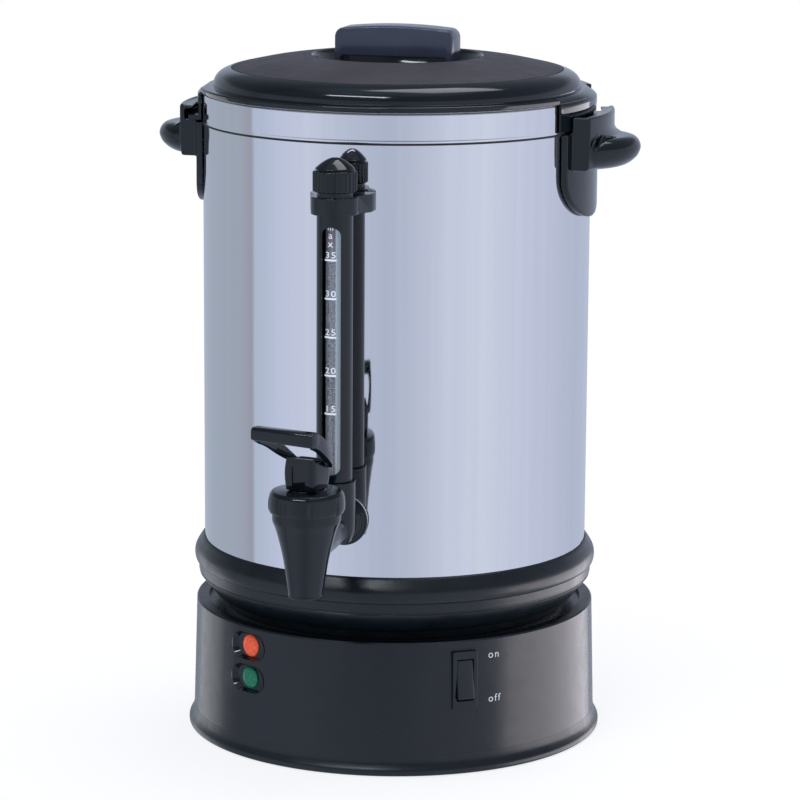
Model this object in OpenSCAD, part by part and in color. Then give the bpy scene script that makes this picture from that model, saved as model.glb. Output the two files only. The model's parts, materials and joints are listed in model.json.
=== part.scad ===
// Coffee urn: a percolator with a gauge glass, a spring tap, a bayonet lid and a rocker switch.
// The axis of the tank is Z, the floor is z = 0, the tap faces -Y and the handles are on +X and -X.
// Azimuths are counted from the tap (-Y) and are positive towards +X.

/* [Tank] */
// Outside diameter of the steel tank
tank_d = 220; // [219:0.1:220.2]
// Height of the tank's top edge above the floor
tank_top = 366.3; // [366:0.1:366.6]
// Thickness of the tank's steel wall
tank_wall = 0.9; // [0.7:0.1:1]
// Top of the tank's floor
tank_floor = 105.2; // [105:0.1:106]

/* [Base] */
// Outside diameter of the base skirt at its foot
base_d = 233.2; // [232:0.1:234]
// Outside diameter of the base skirt at its top
base_top_d = 229.2; // [228.4:0.1:230]
// Height of the base's top edge
base_top = 75; // [74.6:0.1:75.6]
// Outside diameter of the foot ring
foot_d = 239.2; // [238:0.1:241]
// Height of the foot ring
foot_h = 6; // [5.8:0.1:6.2]

/* [Controls] */
// Azimuth of the two lamps
lamp_az = -31; // [-34:0.5:-28]
// Height of the heating lamp
heating_lamp_z = 63.5; // [61:0.5:64.5]
// Height of the keep-warm lamp
warm_lamp_z = 45; // [40:0.5:45]
// Radius of a lamp's lens
lens_r = 6.3; // [5.8:0.1:6.4]
// Azimuth of the rocker switch
switch_az = 34.4; // [30:0.2:35]
// Height of the rocker's pivot
switch_z = 53; // [51:0.5:54]
// Angle through which the rocker tips
rocker_throw = 18; // [14:1:18]

/* [Side handles] */
// Half width of a handle's tongue along the wall
tongue_half_w = 39; // [36.5:0.5:41]
// Lowest point of the tongue
tongue_low = 301; // [296:1:305]
// Half width of a handle's block
block_half_w = 33.8; // [32.6:0.2:34.2]
// Radius of the ear in plan
ear_r = 31; // [29.5:0.5:31.5]

/* [Lid] */
// Outside diameter of the lid's flange
lid_d = 223.6; // [223:0.1:224]
// Highest point of the lid's handle
handle_top = 405; // [403:0.5:407]
// Length of the lid's handle
handle_l = 68.5; // [66:0.5:74]
// Depth of the lid's handle
handle_w = 21; // [18:1:23]

/* [Gauge] */
// Distance from the tank's axis to the gauge glass
gauge_y = 130; // [129.5:0.1:130.5]
// Radius of the gauge's shield tube
shield_r = 9.7; // [9.6:0.1:9.9]
// Width of the shield's window
window_w = 9; // [8:0.5:10]
// Number of ribs round the gauge cap
cap_ribs = 26; // [20:1:30]

/* [Tap] */
// Distance from the tank's axis to the tap's upright axis
tap_y = 186; // [184:0.5:188]
// Height of the shank's centre line
shank_z = 143.2; // [142.6:0.1:143.6]
// Turn of the lever about the tap's upright axis
lever_yaw = -13; // [-20:1:20]
// Rise of the lever's loop above the level
lever_rise = 38; // [34:1:40]
// Length of the lever's front bar
lever_bar = 42; // [38:1:44]

/* [Percolator] */
// Outside diameter of the coffee basket
basket_d = 170; // [160:1:174]
// Height of the basket's floor above the table
basket_floor = 256; // [250:1:260]
// Height of the basket's rim
basket_rim = 332; // [325:1:333]

/* [Hidden] */
$fn = 96;
eps = 0.01;

// Colours
black = [0.10, 0.10, 0.11];
matte = [0.20, 0.19, 0.20];
steel = [0.75, 0.77, 0.82];
zinc = [0.62, 0.63, 0.65];
silicone = [0.86, 0.86, 0.84];

// Tank and base
tank_r = tank_d / 2;
tank_in = tank_r - tank_wall;
skirt_low = 92;
base_r = base_d / 2;
base_top_r = base_top_d / 2;
base_wall = 2.5;
plate_h = 3;
plate_r = 112.2;
deck_top = 73;
deck_under = deck_top - base_wall;
deck_r = 107.7;
deck_hole = 72;
boss_at = 100;
boss_r = 4.5;
screw_az = [45, 135, 225, 315];
pad_at = 92;
pad_az = [0, 90, 180, 270];
lamp_z = [heating_lamp_z, warm_lamp_z];
lens_back = 110.4;

// Studs that hold the tank down to the base
stud_at = 80;
stud_az = [60, 180, 300];
stud_r = 2.5;
stud_low = 62;
shield_z = 84;
nut_h = 3.2;
well_r = 22;
well_low = 90;

// Side handles
handle_az = [-90, 90];
channel_z = 351.4;
block_r = 123.2;
lip_r = 120.4;
stop_l = 3.6;
tongue_top = 350.6;
screw_y = 14;
screw_z = 338;

// Lid
gasket_z = 366.9;
flange_z = gasket_z + 0.6;
flange_top = 370.6;
dome_edge_r = 94;
bowl_r = 49;
bowl_floor = 375;
liner_top = 358;
lid_screw_x = 30;
lug_half = 22.5;
web_r = 112.8;
web_in = 111.4;

// Gauge
boss_top = 169.6;
shield_top = 324.6;
glass_low = 152;
glass_top = 313;
glass_r = 6;
clip_z = 315.2;
clip_h = 9.6;
clip_r = 13;
clip_foot = 34;
clip_waist = 23;
clip_front = 118.5;

// Tap
seat_z = 131.5;
bonnet_z = 164.5;
bonnet_top = 177;
ceiling_z = 171;
pin_z = 186.5;
hub_w = 17.8;
stem_r = 2.5;
joint_y = 150;
pipe_r = 9.2;

// Percolator
tube_r = 5.5;
tube_top = 343;
basket_r = basket_d / 2;

function base_r_at(z) = base_r + (base_top_r - base_r) * (z - foot_h) / (base_top - foot_h);

// Places a child on the wall: child X runs to the right, child Y up and child Z outwards.
module on_wall(az, z, r = 0) {
    rotate([0, 0, az]) translate([0, -r, z]) rotate([90, 0, 0]) children();
}

// Places a child at a radius and an azimuth, with its own X pointing outwards.
module at_az(az, r) {
    rotate([0, 0, az - 90]) translate([r, 0, 0]) children();
}

module tube(r_out, r_in, h) {
    difference() {
        cylinder(r = r_out, h = h);
        translate([0, 0, -1]) cylinder(r = r_in, h = h + 2);
    }
}

module hex(across, h) {
    cylinder(r = across / 2 / cos(30), h = h, $fn = 6);
}

// A slot with round ends along X, drawn flat.
module stadium(l, w) {
    square([l - w, w], center = true);
    for (s = [-1, 1]) translate([s * (l - w) / 2, 0]) circle(d = w);
}

// ---------------------------------------------------------------- base

module foot_ring() {
    color(black) rotate_extrude() polygon([
        [112.4, 0], [foot_d / 2 - 0.4, 0], [foot_d / 2, 0.5], [foot_d / 2, 1.6],
        [foot_d / 2 - 0.5, 3], [foot_d / 2 - 1.4, 4.6], [base_r + 0.6, foot_h],
        [109, foot_h], [109, plate_h], [112.4, plate_h]
    ]);
}

module base_plate() {
    color(zinc) difference() {
        cylinder(r = plate_r, h = plate_h);
        for (az = pad_az) at_az(az, pad_at) translate([0, 0, -1]) cylinder(r = 9.1, h = 2.5);
        for (az = screw_az) at_az(az, boss_at) {
            translate([0, 0, -1]) cylinder(r = 3.6, h = 2.6);
            translate([0, 0, -1]) cylinder(r = 1.8, h = plate_h + 2);
        }
    }
}

module foot_pads() {
    color(black) for (az = pad_az) at_az(az, pad_at) cylinder(r = 9, h = 1.5);
}

module base_screws() {
    color(zinc) for (az = screw_az) at_az(az, boss_at) {
        translate([0, 0, 0.2]) cylinder(r = 3.3, h = 1.4);
        translate([0, 0, 1.6 - eps]) cylinder(r = 1.5, h = 14);
    }
}

module base_housing() {
    inlet_flat = 116.8;
    color(black) difference() {
        union() {
            rotate_extrude() polygon([
                [base_r - base_wall, foot_h], [base_r, foot_h],
                [base_top_r + 0.05, base_top - 0.8], [base_top_r - 0.8, base_top],
                [deck_r, base_top], [deck_r, deck_top], [deck_hole, deck_top],
                [deck_hole, deck_under], [deck_r + base_wall, deck_under],
                [deck_r + base_wall, base_top - base_wall],
                [base_top_r - base_wall, base_top - base_wall]
            ]);
            for (az = screw_az) at_az(az, boss_at) translate([0, 0, plate_h])
                cylinder(r = boss_r, h = deck_under - plate_h + eps);
            on_wall(180, inlet_z, 110)
                translate([-inlet_w / 2 - 1, -inlet_h / 2 - 1, 0])
                    cube([inlet_w + 2, inlet_h + 2, inlet_flat - 110]);
        }
        for (az = screw_az) at_az(az, boss_at) translate([0, 0, plate_h - 1])
            cylinder(r = 1.55, h = 15);
        for (z = lamp_z) on_wall(lamp_az, z, lens_back - 0.1) linear_extrude(20)
            stadium(27, 15.4);
        on_wall(switch_az, switch_z, 100) linear_extrude(30) square([12.6, 29.4], center = true);
        on_wall(180, inlet_z, 90) linear_extrude(40) square([20.4, 28.4], center = true);
        for (s = [-1, 1]) on_wall(180, inlet_z + s * inlet_screw, 100) cylinder(r = 1.35, h = 30);
        for (az = stud_az) at_az(az, stud_at) translate([0, 0, deck_under - 1])
            cylinder(r = stud_r + 0.2, h = 5);
    }
}

// ---------------------------------------------------------------- lamps

module lamp_bezels() {
    color(black) for (z = lamp_z) difference() {
        intersection() {
            on_wall(lamp_az, z, lens_back) linear_extrude(12) stadium(26.7, 15.1);
            cylinder(r = base_r_at(z) + 0.35, h = base_top);
        }
        on_wall(lamp_az, z, base_r_at(z) - 2.6) linear_extrude(12) stadium(24.5, 13.1);
        on_wall(lamp_az, z, 100) cylinder(r = lens_r + 0.05, h = 20);
    }
}

module lamp_lens(z) {
    front = base_r_at(z) - 2.4;
    on_wall(lamp_az, z, lens_back) cylinder(r = lens_r, h = front - lens_back);
    on_wall(lamp_az, z, front - eps) cylinder(r1 = lens_r, r2 = lens_r - 1.8, h = 1.2);
}

module heating_lamp_lens() { color([0.90, 0.33, 0.18]) lamp_lens(heating_lamp_z); }

module warm_lamp_lens() { color([0.05, 0.45, 0.32]) lamp_lens(warm_lamp_z); }

module lamp_bodies() {
    color(matte) for (z = lamp_z) {
        on_wall(lamp_az, z, 92) cylinder(r = 5.8, h = lens_back - 92);
        for (s = [-1, 1]) on_wall(lamp_az, z, 85) translate([s * 2 - 0.4, -1.6, 0])
            cube([0.8, 3.2, 7 + eps]);
    }
}

// ---------------------------------------------------------------- switch

rocker_pivot = 115;
rocker_end_r = 11.4;
rocker_w = 9.5;
frame_back = 115.75;
frame_front = 117;

module switch_frame() {
    color(black) difference() {
        union() {
            on_wall(switch_az, switch_z, 103) linear_extrude(frame_back - 103 + eps)
                square([12.2, 29], center = true);
            on_wall(switch_az, switch_z, frame_back) linear_extrude(frame_front - frame_back)
                square([14.2, 32], center = true);
        }
        on_wall(switch_az, switch_z, 102) linear_extrude(20)
            square([rocker_w + 0.5, 2 * rocker_end_r + 0.6], center = true);
        on_wall(switch_az, switch_z, rocker_pivot) rotate([0, 90, 0])
            cylinder(r = 1.06, h = 11.6, center = true);
    }
}

// The rocker's side view: u runs up the wall and w outwards, both from the pivot.
module rocker_outline() {
    intersection() {
        circle(r = rocker_end_r);
        polygon([[-13, 3.4], [0, 2.6], [13, 3.4], [13, -1.5], [4, -5], [-4, -5], [-13, -1.5]]);
    }
}

module switch_rocker() {
    color(matte) on_wall(switch_az, switch_z, rocker_pivot) rotate([-rocker_throw / 2, 0, 0]) {
        rotate([0, 90, 0]) rotate([0, 0, 90]) translate([0, 0, -rocker_w / 2])
            linear_extrude(rocker_w) rocker_outline();
        rotate([0, 90, 0]) cylinder(r = 1, h = 11.2, center = true);
    }
}

module switch_body() {
    color(matte) on_wall(switch_az, switch_z, 90) {
        linear_extrude(13) square([12, 28], center = true);
        for (y = [-9, 0, 9]) translate([-2.4, y - 0.4, -7]) cube([4.8, 0.8, 7 + eps]);
    }
}

// ---------------------------------------------------------------- power inlet

inlet_z = 38;
inlet_w = 24;
inlet_h = 50;
inlet_screw = 20;
inlet_pin_at = [[-3, 7], [3, 0], [-3, -7]];

module power_inlet() {
    color(black) difference() {
        on_wall(180, inlet_z, 96) {
            linear_extrude(20.8 + eps) square([20, 28], center = true);
            translate([0, 0, 20.8]) linear_extrude(2.4) difference() {
                square([inlet_w, inlet_h], center = true);
                for (s = [-1, 1]) translate([0, s * inlet_screw]) circle(r = 1.8);
            }
        }
        on_wall(180, inlet_z, 101) linear_extrude(30) square([16.5, 24.5], center = true);
        for (p = inlet_pin_at) on_wall(180, inlet_z, 90) translate([p[0], p[1], 0])
            linear_extrude(20) square([2, 4], center = true);
    }
}

module inlet_pins() {
    color(zinc) for (p = inlet_pin_at) on_wall(180, inlet_z, 89) translate([p[0], p[1], 0])
        linear_extrude(26) square([2, 4], center = true);
}

module inlet_screws() {
    color(zinc) for (s = [-1, 1]) on_wall(180, inlet_z + s * inlet_screw, 119.2) {
        cylinder(r = 2.9, h = 0.4);
        translate([0, 0, -9]) cylinder(r = 1.3, h = 9 + eps);
    }
}

// ---------------------------------------------------------------- wiring

wire_r = 1.3;
wire_sides = 8;

function unit(v) = v / norm(v);

// A point between b and c on the smooth curve through a, b, c and d.
function curve_point(a, b, c, d, t) =
    b + t * ((c - a) + t * ((2 * a - 5 * b + 4 * c - d) + t * (3 * b - a - 3 * c + d))) / 2;

// The given points with three more between each pair.
function smooth(p) = concat([for (i = [0 : len(p) - 2]) for (t = [0 : 0.25 : 0.75])
    curve_point(p[max(i - 1, 0)], p[i], p[i + 1], p[min(i + 2, len(p) - 1)], t)], [p[len(p) - 1]]);

// A round wire along a list of points, as one closed skin. No stretch runs along the side vector.
module swept(p, r, sides, side) {
    last = len(p) - 1;
    rings = [for (i = [0 : last])
        let (ahead = unit(p[min(i + 1, last)] - p[max(i - 1, 0)]),
            u = unit(cross(ahead, side)), v = cross(ahead, u))
        for (j = [0 : sides - 1])
            p[i] + r * (cos(360 * j / sides) * u + sin(360 * j / sides) * v)];
    skin = [for (i = [0 : last - 1]) for (j = [0 : sides - 1])
        let (k = (j + 1) % sides)
        [i * sides + j, (i + 1) * sides + j, (i + 1) * sides + k, i * sides + k]];
    ends = [[for (j = [0 : sides - 1]) j], [for (j = [sides - 1 : -1 : 0]) last * sides + j]];
    polyhedron(rings, concat(skin, ends), convexity = 10);
}

// Ends of the blades that the wires reach.
function blade(az, r, side, z) = [r * sin(az) + side * cos(az), side * sin(az) - r * cos(az), z];

live_wire = [
    [3, 88, 45], [3, 80, 45], [30, 50, 50], [48, 0, 58], blade(switch_az, 73, 0, 62),
    blade(switch_az, 82, 0, 62)
];
heater_wire = [
    blade(switch_az, 82, 0, 44), blade(switch_az, 73, 0, 44), [30, -30, 50], [28, -5, 70],
    [28, 0, 79], [28, 0, 86]
];
neutral_wire = [
    [-3, 88, 38], [-3, 80, 38], [-35, 50, 50], [-32, 10, 66], [-28, 0, 79], [-28, 0, 86]
];
lamp_wire = [
    blade(switch_az, 82, 0, 53), blade(switch_az, 73, 0, 53), [10, -45, 40], [-20, -50, 40],
    blade(lamp_az, 75, 2, warm_lamp_z), blade(lamp_az, 84, 2, warm_lamp_z)
];
earth_wire = [[3, 88, 31], [3, 79, 31], [1, 72, 40], [0, 73, 50], [0, 80, 56], [0, 80, 61.4]];

module wiring() {
    for (w = [live_wire, heater_wire, neutral_wire, lamp_wire, earth_wire])
        color([0.75, 0.2, 0.15]) swept(smooth(w), wire_r, wire_sides, [0.6, 0.35, 0.72]);
}

// ---------------------------------------------------------------- collar and tank

module neck_collar() {
    color(black) rotate_extrude() polygon([
        [tank_r + 0.1, 111], [tank_r + 0.7, 110.9], [112.7, 108.3], [114.3, 105.8],
        [115.3, 103.8], [115.7, 101.9], [115.7, 100.1], [115.2, 97.7], [113.7, 96.6],
        [113.4, 91.4], [112.7, 91.1], [112.7, 90.5], [113.0, 90.1], [104.3, 79],
        [98, 77.4], [98, deck_top], [87, deck_top], [87, 78], [105.5, skirt_low],
        [tank_r + 0.1, skirt_low]
    ]);
}

module tank_studs() {
    color(zinc) for (az = stud_az) at_az(az, stud_at) translate([0, 0, stud_low])
        cylinder(r = stud_r, h = tank_floor - 1.2 - stud_low);
}

module stud_nuts() {
    color(zinc) for (az = stud_az) at_az(az, stud_at)
        for (z = [deck_under - nut_h, shield_z + 0.8]) translate([0, 0, z]) difference() {
            hex(8, nut_h);
            translate([0, 0, -1]) cylinder(r = stud_r + 0.02, h = nut_h + 2);
        }
}

module stud_spacers() {
    color(zinc) for (az = stud_az) at_az(az, stud_at) translate([0, 0, deck_top])
        tube(4.5, stud_r + 0.2, shield_z - deck_top);
}

module heat_shield() {
    color(steel) difference() {
        translate([0, 0, shield_z]) cylinder(r = 90, h = 0.8);
        for (az = stud_az) at_az(az, stud_at) translate([0, 0, shield_z - 1])
            cylinder(r = stud_r + 0.2, h = 3);
        translate([0, 0, shield_z - 1]) cylinder(r = 38, h = 3);
    }
}

module tank_shell() {
    color(steel) difference() {
        rotate_extrude() polygon([
            [tank_r, skirt_low], [tank_r, tank_top], [tank_in, tank_top],
            [tank_in, tank_floor], [well_r, tank_floor], [well_r, tank_floor - 1.2],
            [tank_in, tank_floor - 1.2], [tank_in, skirt_low]
        ]);
        on_wall(0, shank_z, 90) cylinder(r = 8.3, h = 40);
        on_wall(0, clip_z + clip_h / 2, 90) cylinder(r = 1.6, h = 40);
        for (az = handle_az) for (s = [-1, 1]) on_wall(az, screw_z, 90)
            translate([s * screw_y, 0, 0]) cylinder(r = 2.1, h = 40);
    }
}

module pump_well() {
    color(steel) rotate_extrude() polygon([
        [0, well_low], [well_r - 0.1, well_low], [well_r - 0.1, tank_floor], [28, tank_floor],
        [28, tank_floor + 0.9], [well_r - 1.1, tank_floor + 0.9], [well_r - 1.1, well_low + 1],
        [0, well_low + 1]
    ]);
}

module main_heater() {
    heater_low = 91.5;
    blade_l = 5;
    color(zinc) {
        translate([0, 0, heater_low]) tube(33, well_r + 0.1, 11.5);
        for (s = [-1, 1]) translate([s * 28 - 2.4, -0.4, heater_low - blade_l])
            cube([4.8, 0.8, blade_l + eps]);
    }
}

module warm_heater() {
    color(zinc) translate([0, 0, tank_floor - 1.2 - 3]) tube(72, 45, 3);
}

module thermostat() {
    color(matte) at_az(20, 58) translate([0, 0, 91]) {
        cylinder(r = 9, h = tank_floor - 4.2 - 91);
        for (s = [-1, 1]) translate([-2.4, s * 6 - 0.4, -5]) cube([4.8, 0.8, 5 + eps]);
    }
}

module thermal_fuse() {
    color(zinc) at_az(-120, 58) translate([0, -8, tank_floor - 4.2 - 2])
        rotate([-90, 0, 0]) cylinder(r = 2, h = 16);
}

module rim_band() {
    color(steel) rotate_extrude() polygon([
        [tank_r + 0.05, 351], [tank_r + 0.8, 351], [tank_r + 0.95, 351.4], [tank_r + 0.95, 352.2],
        [tank_r + 0.7, 352.8], [tank_r + 0.7, 366], [tank_r + 0.3, gasket_z],
        [tank_in - 0.7, gasket_z], [tank_in - 1, 366.5], [tank_in - 1, 359],
        [tank_in - 0.1, 359], [tank_in - 0.1, tank_top], [tank_r + 0.05, tank_top]
    ]);
}

// ---------------------------------------------------------------- side handles

// The tongue's outline on the wall: straight sides and a half ellipse below.
function tongue_outline() = concat(
    [[tongue_half_w, tongue_top], [-tongue_half_w, tongue_top]],
    [for (a = [180 : 7.5 : 360]) [tongue_half_w * cos(a), 326 + (326 - tongue_low) * sin(a)]]
);

module side_handle(az) {
    ear_at = 109;
    color(black) rotate([0, 0, az - 90]) difference() {
        union() {
            intersection() {
                rotate_extrude() polygon([
                    [tank_r + 0.3, 295], [tank_r + 3.2, 295], [tank_r + 3.9, 300],
                    [tank_r + 3.9, tongue_top - 0.6], [tank_r + 3.3, tongue_top],
                    [tank_r + 0.3, tongue_top]
                ]);
                rotate([90, 0, 90]) linear_extrude(150) polygon(tongue_outline());
            }
            intersection() {
                rotate_extrude() polygon([
                    [tank_r + 3, 330.5], [block_r - 0.8, 330.5], [block_r, 340],
                    [block_r, 359], [block_r - 0.7, 359.8], [lip_r + 0.5, 359.8],
                    [lip_r, 359.2], [lip_r, channel_z], [tank_r + 3, channel_z]
                ]);
                translate([90, -block_half_w, 300]) cube([50, 2 * block_half_w, 80]);
            }
            // The wall that stops the lug's foot.
            intersection() {
                rotate_extrude() polygon([
                    [web_r + 1.2, channel_z - 1], [lip_r + 1, channel_z - 1], [lip_r + 1, 359.8],
                    [web_r + 1.2, 359.8]
                ]);
                translate([90, -block_half_w, 300]) cube([50, stop_l, 80]);
            }
            translate([ear_at, 0, 0]) difference() {
                rotate_extrude() polygon([
                    [0, 328.5], [ear_r - 14, 329.2], [ear_r - 8, 331], [ear_r - 4, 333.3],
                    [ear_r - 1.5, 336], [ear_r - 0.2, 338.8], [ear_r, 340.4], [ear_r - 0.4, 342.4],
                    [ear_r - 1.6, 344.6], [ear_r - 3.6, 346.2], [ear_r - 6.4, 347], [0, 347]
                ]);
                translate([-60, -40, 320]) cube([60 + 5.5, 80, 40]);
            }
        }
        // Two moulding pockets in the ear, parted by a slanting rib.
        difference() {
            translate([block_r + 1, -19, 341]) cube([7, 24, 10]);
            translate([block_r + 4.5, -7, 345]) rotate([0, 0, -28]) cube([2, 40, 30], center = true);
        }
        for (s = [-1, 1]) translate([100, s * screw_y, screw_z]) rotate([0, 90, 0])
            cylinder(r = 1.95, h = 21);
    }
}

module handle_left() { side_handle(handle_az[0]); }

module handle_right() { side_handle(handle_az[1]); }

module handle_screws() {
    head_face = sqrt(pow(tank_in, 2) - pow(screw_y + 3.6, 2)) - 0.2;
    color(zinc) for (az = handle_az) for (s = [-1, 1]) on_wall(az, screw_z)
        translate([s * screw_y, 0, 0]) {
            translate([0, 0, head_face - 2]) cylinder(r = 3.6, h = 2);
            translate([0, 0, head_face - eps]) cylinder(r = 1.9, h = 120.8 - head_face);
        }
}

// ---------------------------------------------------------------- lid

module lid_gasket() {
    color(silicone) rotate_extrude() polygon([
        [106, 360], [107.7, 360], [107.7, gasket_z], [109.6, gasket_z],
        [109.6, flange_z], [106, flange_z]
    ]);
}

// A sector round the axis between two angles counted from +X.
module sector(from, to) {
    translate([0, 0, 345]) linear_extrude(40)
        polygon([[0, 0], [140, 140 * tan(from)], [140, 140 * tan(to)]]);
}

// The foot ends before the handle's stop wall.
function foot_end() = -asin((block_half_w - stop_l - 1.5) / (web_r + 1));

module lid_ring() {
    color(black) {
        difference() {
            rotate_extrude() polygon([
                [103.7, liner_top], [105.7, liner_top], [105.7, flange_z], [lid_d / 2, flange_z],
                [lid_d / 2, flange_top - 0.6], [lid_d / 2 - 0.5, flange_top], [104.5, flange_top],
                [104.2, 371], [104.1, 372.4], [103.7, 374], [102.8, 375.8], [101.4, 377.5],
                [99.4, 378.9], [97, 380], [dome_edge_r, 380.9], [dome_edge_r, 378.85], [89, 379.9],
                [89, 378.2], [dome_edge_r, 376.9], [98.3, 375.6], [100.8, 373.4], [101.6, 371.4],
                [101.6, 368], [103.7, 366]
            ]);
            for (s = [0, 180]) rotate([0, 0, s]) intersection() {
                rotate_extrude() polygon([[107.2, 371], [114, 366.5], [114, 371]]);
                sector(-lug_half, lug_half);
            }
        }
        for (s = [0, 180]) rotate([0, 0, s]) {
            intersection() {
                rotate_extrude() polygon([
                    [108, flange_z + eps], [web_in - 1, flange_z + eps], [web_in, flange_z - 1],
                    [web_in, 352.2], [web_r, 352.2], [web_r, 366.8], [web_r - 0.6, 367.6],
                    [110, 369.1], [108, 370]
                ]);
                sector(-lug_half, lug_half);
            }
            intersection() {
                rotate_extrude() polygon([
                    [web_in + 0.2, 352.2], [118.6, 352.2], [118.6, 355], [web_in + 0.2, 355]
                ]);
                sector(foot_end(), lug_half);
            }
        }
    }
}

module lid_dome() {
    color(matte) rotate_extrude() polygon([
        [bowl_r, 388.3], [bowl_r, 386.3], [62, 384.9], [74, 383.2], [84, 381.2],
        [dome_edge_r, 378.9], [dome_edge_r, 380.9], [84, 383.2], [74, 385.2], [62, 386.9]
    ]);
}

module lid_bowl() {
    color(black) difference() {
        rotate_extrude() polygon([
            [0, bowl_floor], [38, bowl_floor], [42, bowl_floor + 1.2], [44.6, bowl_floor + 4],
            [46.6, 384], [bowl_r - 0.6, 387.9], [bowl_r - 0.05, 388.1], [bowl_r - 0.05, 386.25],
            [bowl_r, 386.25], [54, 385.7], [54, 384.3], [48.6, 384.8], [46.6, 379],
            [43.4, bowl_floor - 0.6], [39, bowl_floor - 2], [0, bowl_floor - 2]
        ]);
        for (s = [-1, 1]) translate([s * lid_screw_x, 0, bowl_floor - 5]) cylinder(r = 2.1, h = 10);
    }
}

// Side view of the bridge handle: a crowned bar on two legs, with a foot inside each leg.
module bridge_outline() {
    crown_h = 1.5;
    bar_low = 387.6;
    end_top = handle_top - crown_h;
    half = handle_l / 2;
    corner = 5;
    crown = [for (t = [-1 : 0.25 : 1]) [t * (half - corner), handle_top - crown_h * t * t]];
    difference() {
        polygon(concat(
            [[-half, bowl_floor], [-half, end_top - corner]],
            [for (a = [165 : -15 : 105]) [-half + corner + corner * cos(a),
                end_top - corner + corner * sin(a)]],
            crown,
            [for (a = [75 : -15 : 15]) [half - corner + corner * cos(a),
                end_top - corner + corner * sin(a)]],
            [[half, end_top - corner], [half, bowl_floor]]
        ));
        polygon([
            [-half + 3.4, bar_low - 1.4], [-half + 5, bar_low], [half - 5, bar_low],
            [half - 3.4, bar_low - 1.4],
            [half - 3.4, bowl_floor + 4], [half - 11.5, bowl_floor + 4], [half - 12.5, bowl_floor - 1],
            [-half + 12.5, bowl_floor - 1], [-half + 11.5, bowl_floor + 4],
            [-half + 3.4, bowl_floor + 4]
        ]);
    }
}

module lid_handle() {
    color(black) difference() {
        translate([0, handle_w / 2, 0]) rotate([90, 0, 0]) linear_extrude(handle_w)
            bridge_outline();
        for (s = [-1, 1]) translate([s * lid_screw_x, 0, bowl_floor - 1]) cylinder(r = 1.95, h = 4);
    }
}

module lid_liner() {
    color(steel) difference() {
        translate([0, 0, liner_top - 1.2]) cylinder(r = 105.7, h = 1.2);
        for (s = [-1, 1]) translate([s * lid_screw_x, 0, liner_top - 3]) cylinder(r = 2.1, h = 10);
    }
}

module lid_spacers() {
    color(zinc) for (s = [-1, 1]) translate([s * lid_screw_x, 0, liner_top])
        tube(4.5, 2.1, bowl_floor - 2 - liner_top);
}

module lid_screws() {
    color(zinc) for (s = [-1, 1]) translate([s * lid_screw_x, 0, liner_top - 3.2]) {
        cylinder(r = 4, h = 2);
        translate([0, 0, 2 - eps]) cylinder(r = 1.9, h = bowl_floor + 2.6 - liner_top + 1.2);
    }
}

// ---------------------------------------------------------------- tap

module along_y(y, z, h, r) {
    translate([0, y, z]) rotate([90, 0, 0]) cylinder(r = r, h = h);
}

module tap_shank() {
    color(black) difference() {
        union() {
            along_y(-tank_r - 4.5, shank_z, joint_y - tank_r - 4.5, pipe_r);
            along_y(-tank_r - 1.6, shank_z, 2.9 + eps, 14);
            along_y(-100.5, shank_z, tank_r + 1.6 - 100.5 + eps, 8);
            along_y(-joint_y + eps, shank_z, 10, 7.5);
            translate([0, -gauge_y, 143]) cylinder(r = 11.5, h = boss_top - 143);
        }
        along_y(-100, shank_z, 61, 5.2);
        translate([0, -gauge_y, shank_z]) cylinder(r = 4.8, h = 20);
        translate([0, -gauge_y, glass_low]) cylinder(r = glass_r + 0.3, h = 20);
        translate([0, -gauge_y, boss_top - 6]) cylinder(r = 7.7, h = 10);
    }
}

module shank_gaskets() {
    color(silicone) {
        difference() {
            along_y(-108, shank_z, tank_r + 1.6 - 108, 13.4);
            cylinder(r = tank_r, h = 200);
            along_y(-100, shank_z, 20, 8.2);
        }
        difference() {
            intersection() {
                along_y(-105.6, shank_z, 5, 13);
                cylinder(r = tank_in, h = 200);
            }
            along_y(-100, shank_z, 20, 8.2);
        }
    }
}

module shank_nut() {
    color(zinc) difference() {
        translate([0, -101.4, shank_z]) rotate([90, 0, 0]) hex(22, 4.2);
        along_y(-100, shank_z, 8, 8.02);
    }
}

module tap_body() {
    color(black) difference() {
        union() {
            translate([0, -tap_y, 0]) rotate_extrude() polygon([
                [0, 118], [8.4, 118], [9.2, 118.7], [9.4, 120], [11.9, 138], [15.2, 154],
                [16.6, 156.6], [18, 158.6], [18.4, 160.4], [18.4, bonnet_z], [15, bonnet_z],
                [15, ceiling_z], [0, ceiling_z]
            ]);
            along_y(-joint_y, shank_z, tap_y - joint_y, pipe_r);
        }
        translate([0, -tap_y, 0]) {
            translate([0, 0, 110]) cylinder(r = 6.5, h = 30);
            translate([0, 0, seat_z]) cylinder(r = 9, h = 30);
            translate([0, 0, 152]) cylinder(r = 12, h = 30);
        }
        along_y(-joint_y + 1, shank_z, tap_y - joint_y + 1, 5.2);
        along_y(-joint_y + 1, shank_z, 11.2, 7.6);
    }
}

module tap_bonnet() {
    grip = 6;
    color(black) translate([0, -tap_y, 0]) difference() {
        rotate_extrude() polygon([
            [15.1, bonnet_z], [19.4, bonnet_z], [20.1, 166], [20.4, 168.4], [20.1, 171.4],
            [19.4, 174.4], [18.4, 176.4], [17.4, bonnet_top], [stem_r + 0.08, bonnet_top],
            [stem_r + 0.08, ceiling_z], [15.1, ceiling_z]
        ]);
        for (i = [0 : 7]) rotate([0, 0, i * 45 + 22.5]) translate([20.4 + grip - 0.8, 0, 166.5])
            cylinder(r = grip, h = 20);
    }
}

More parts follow.
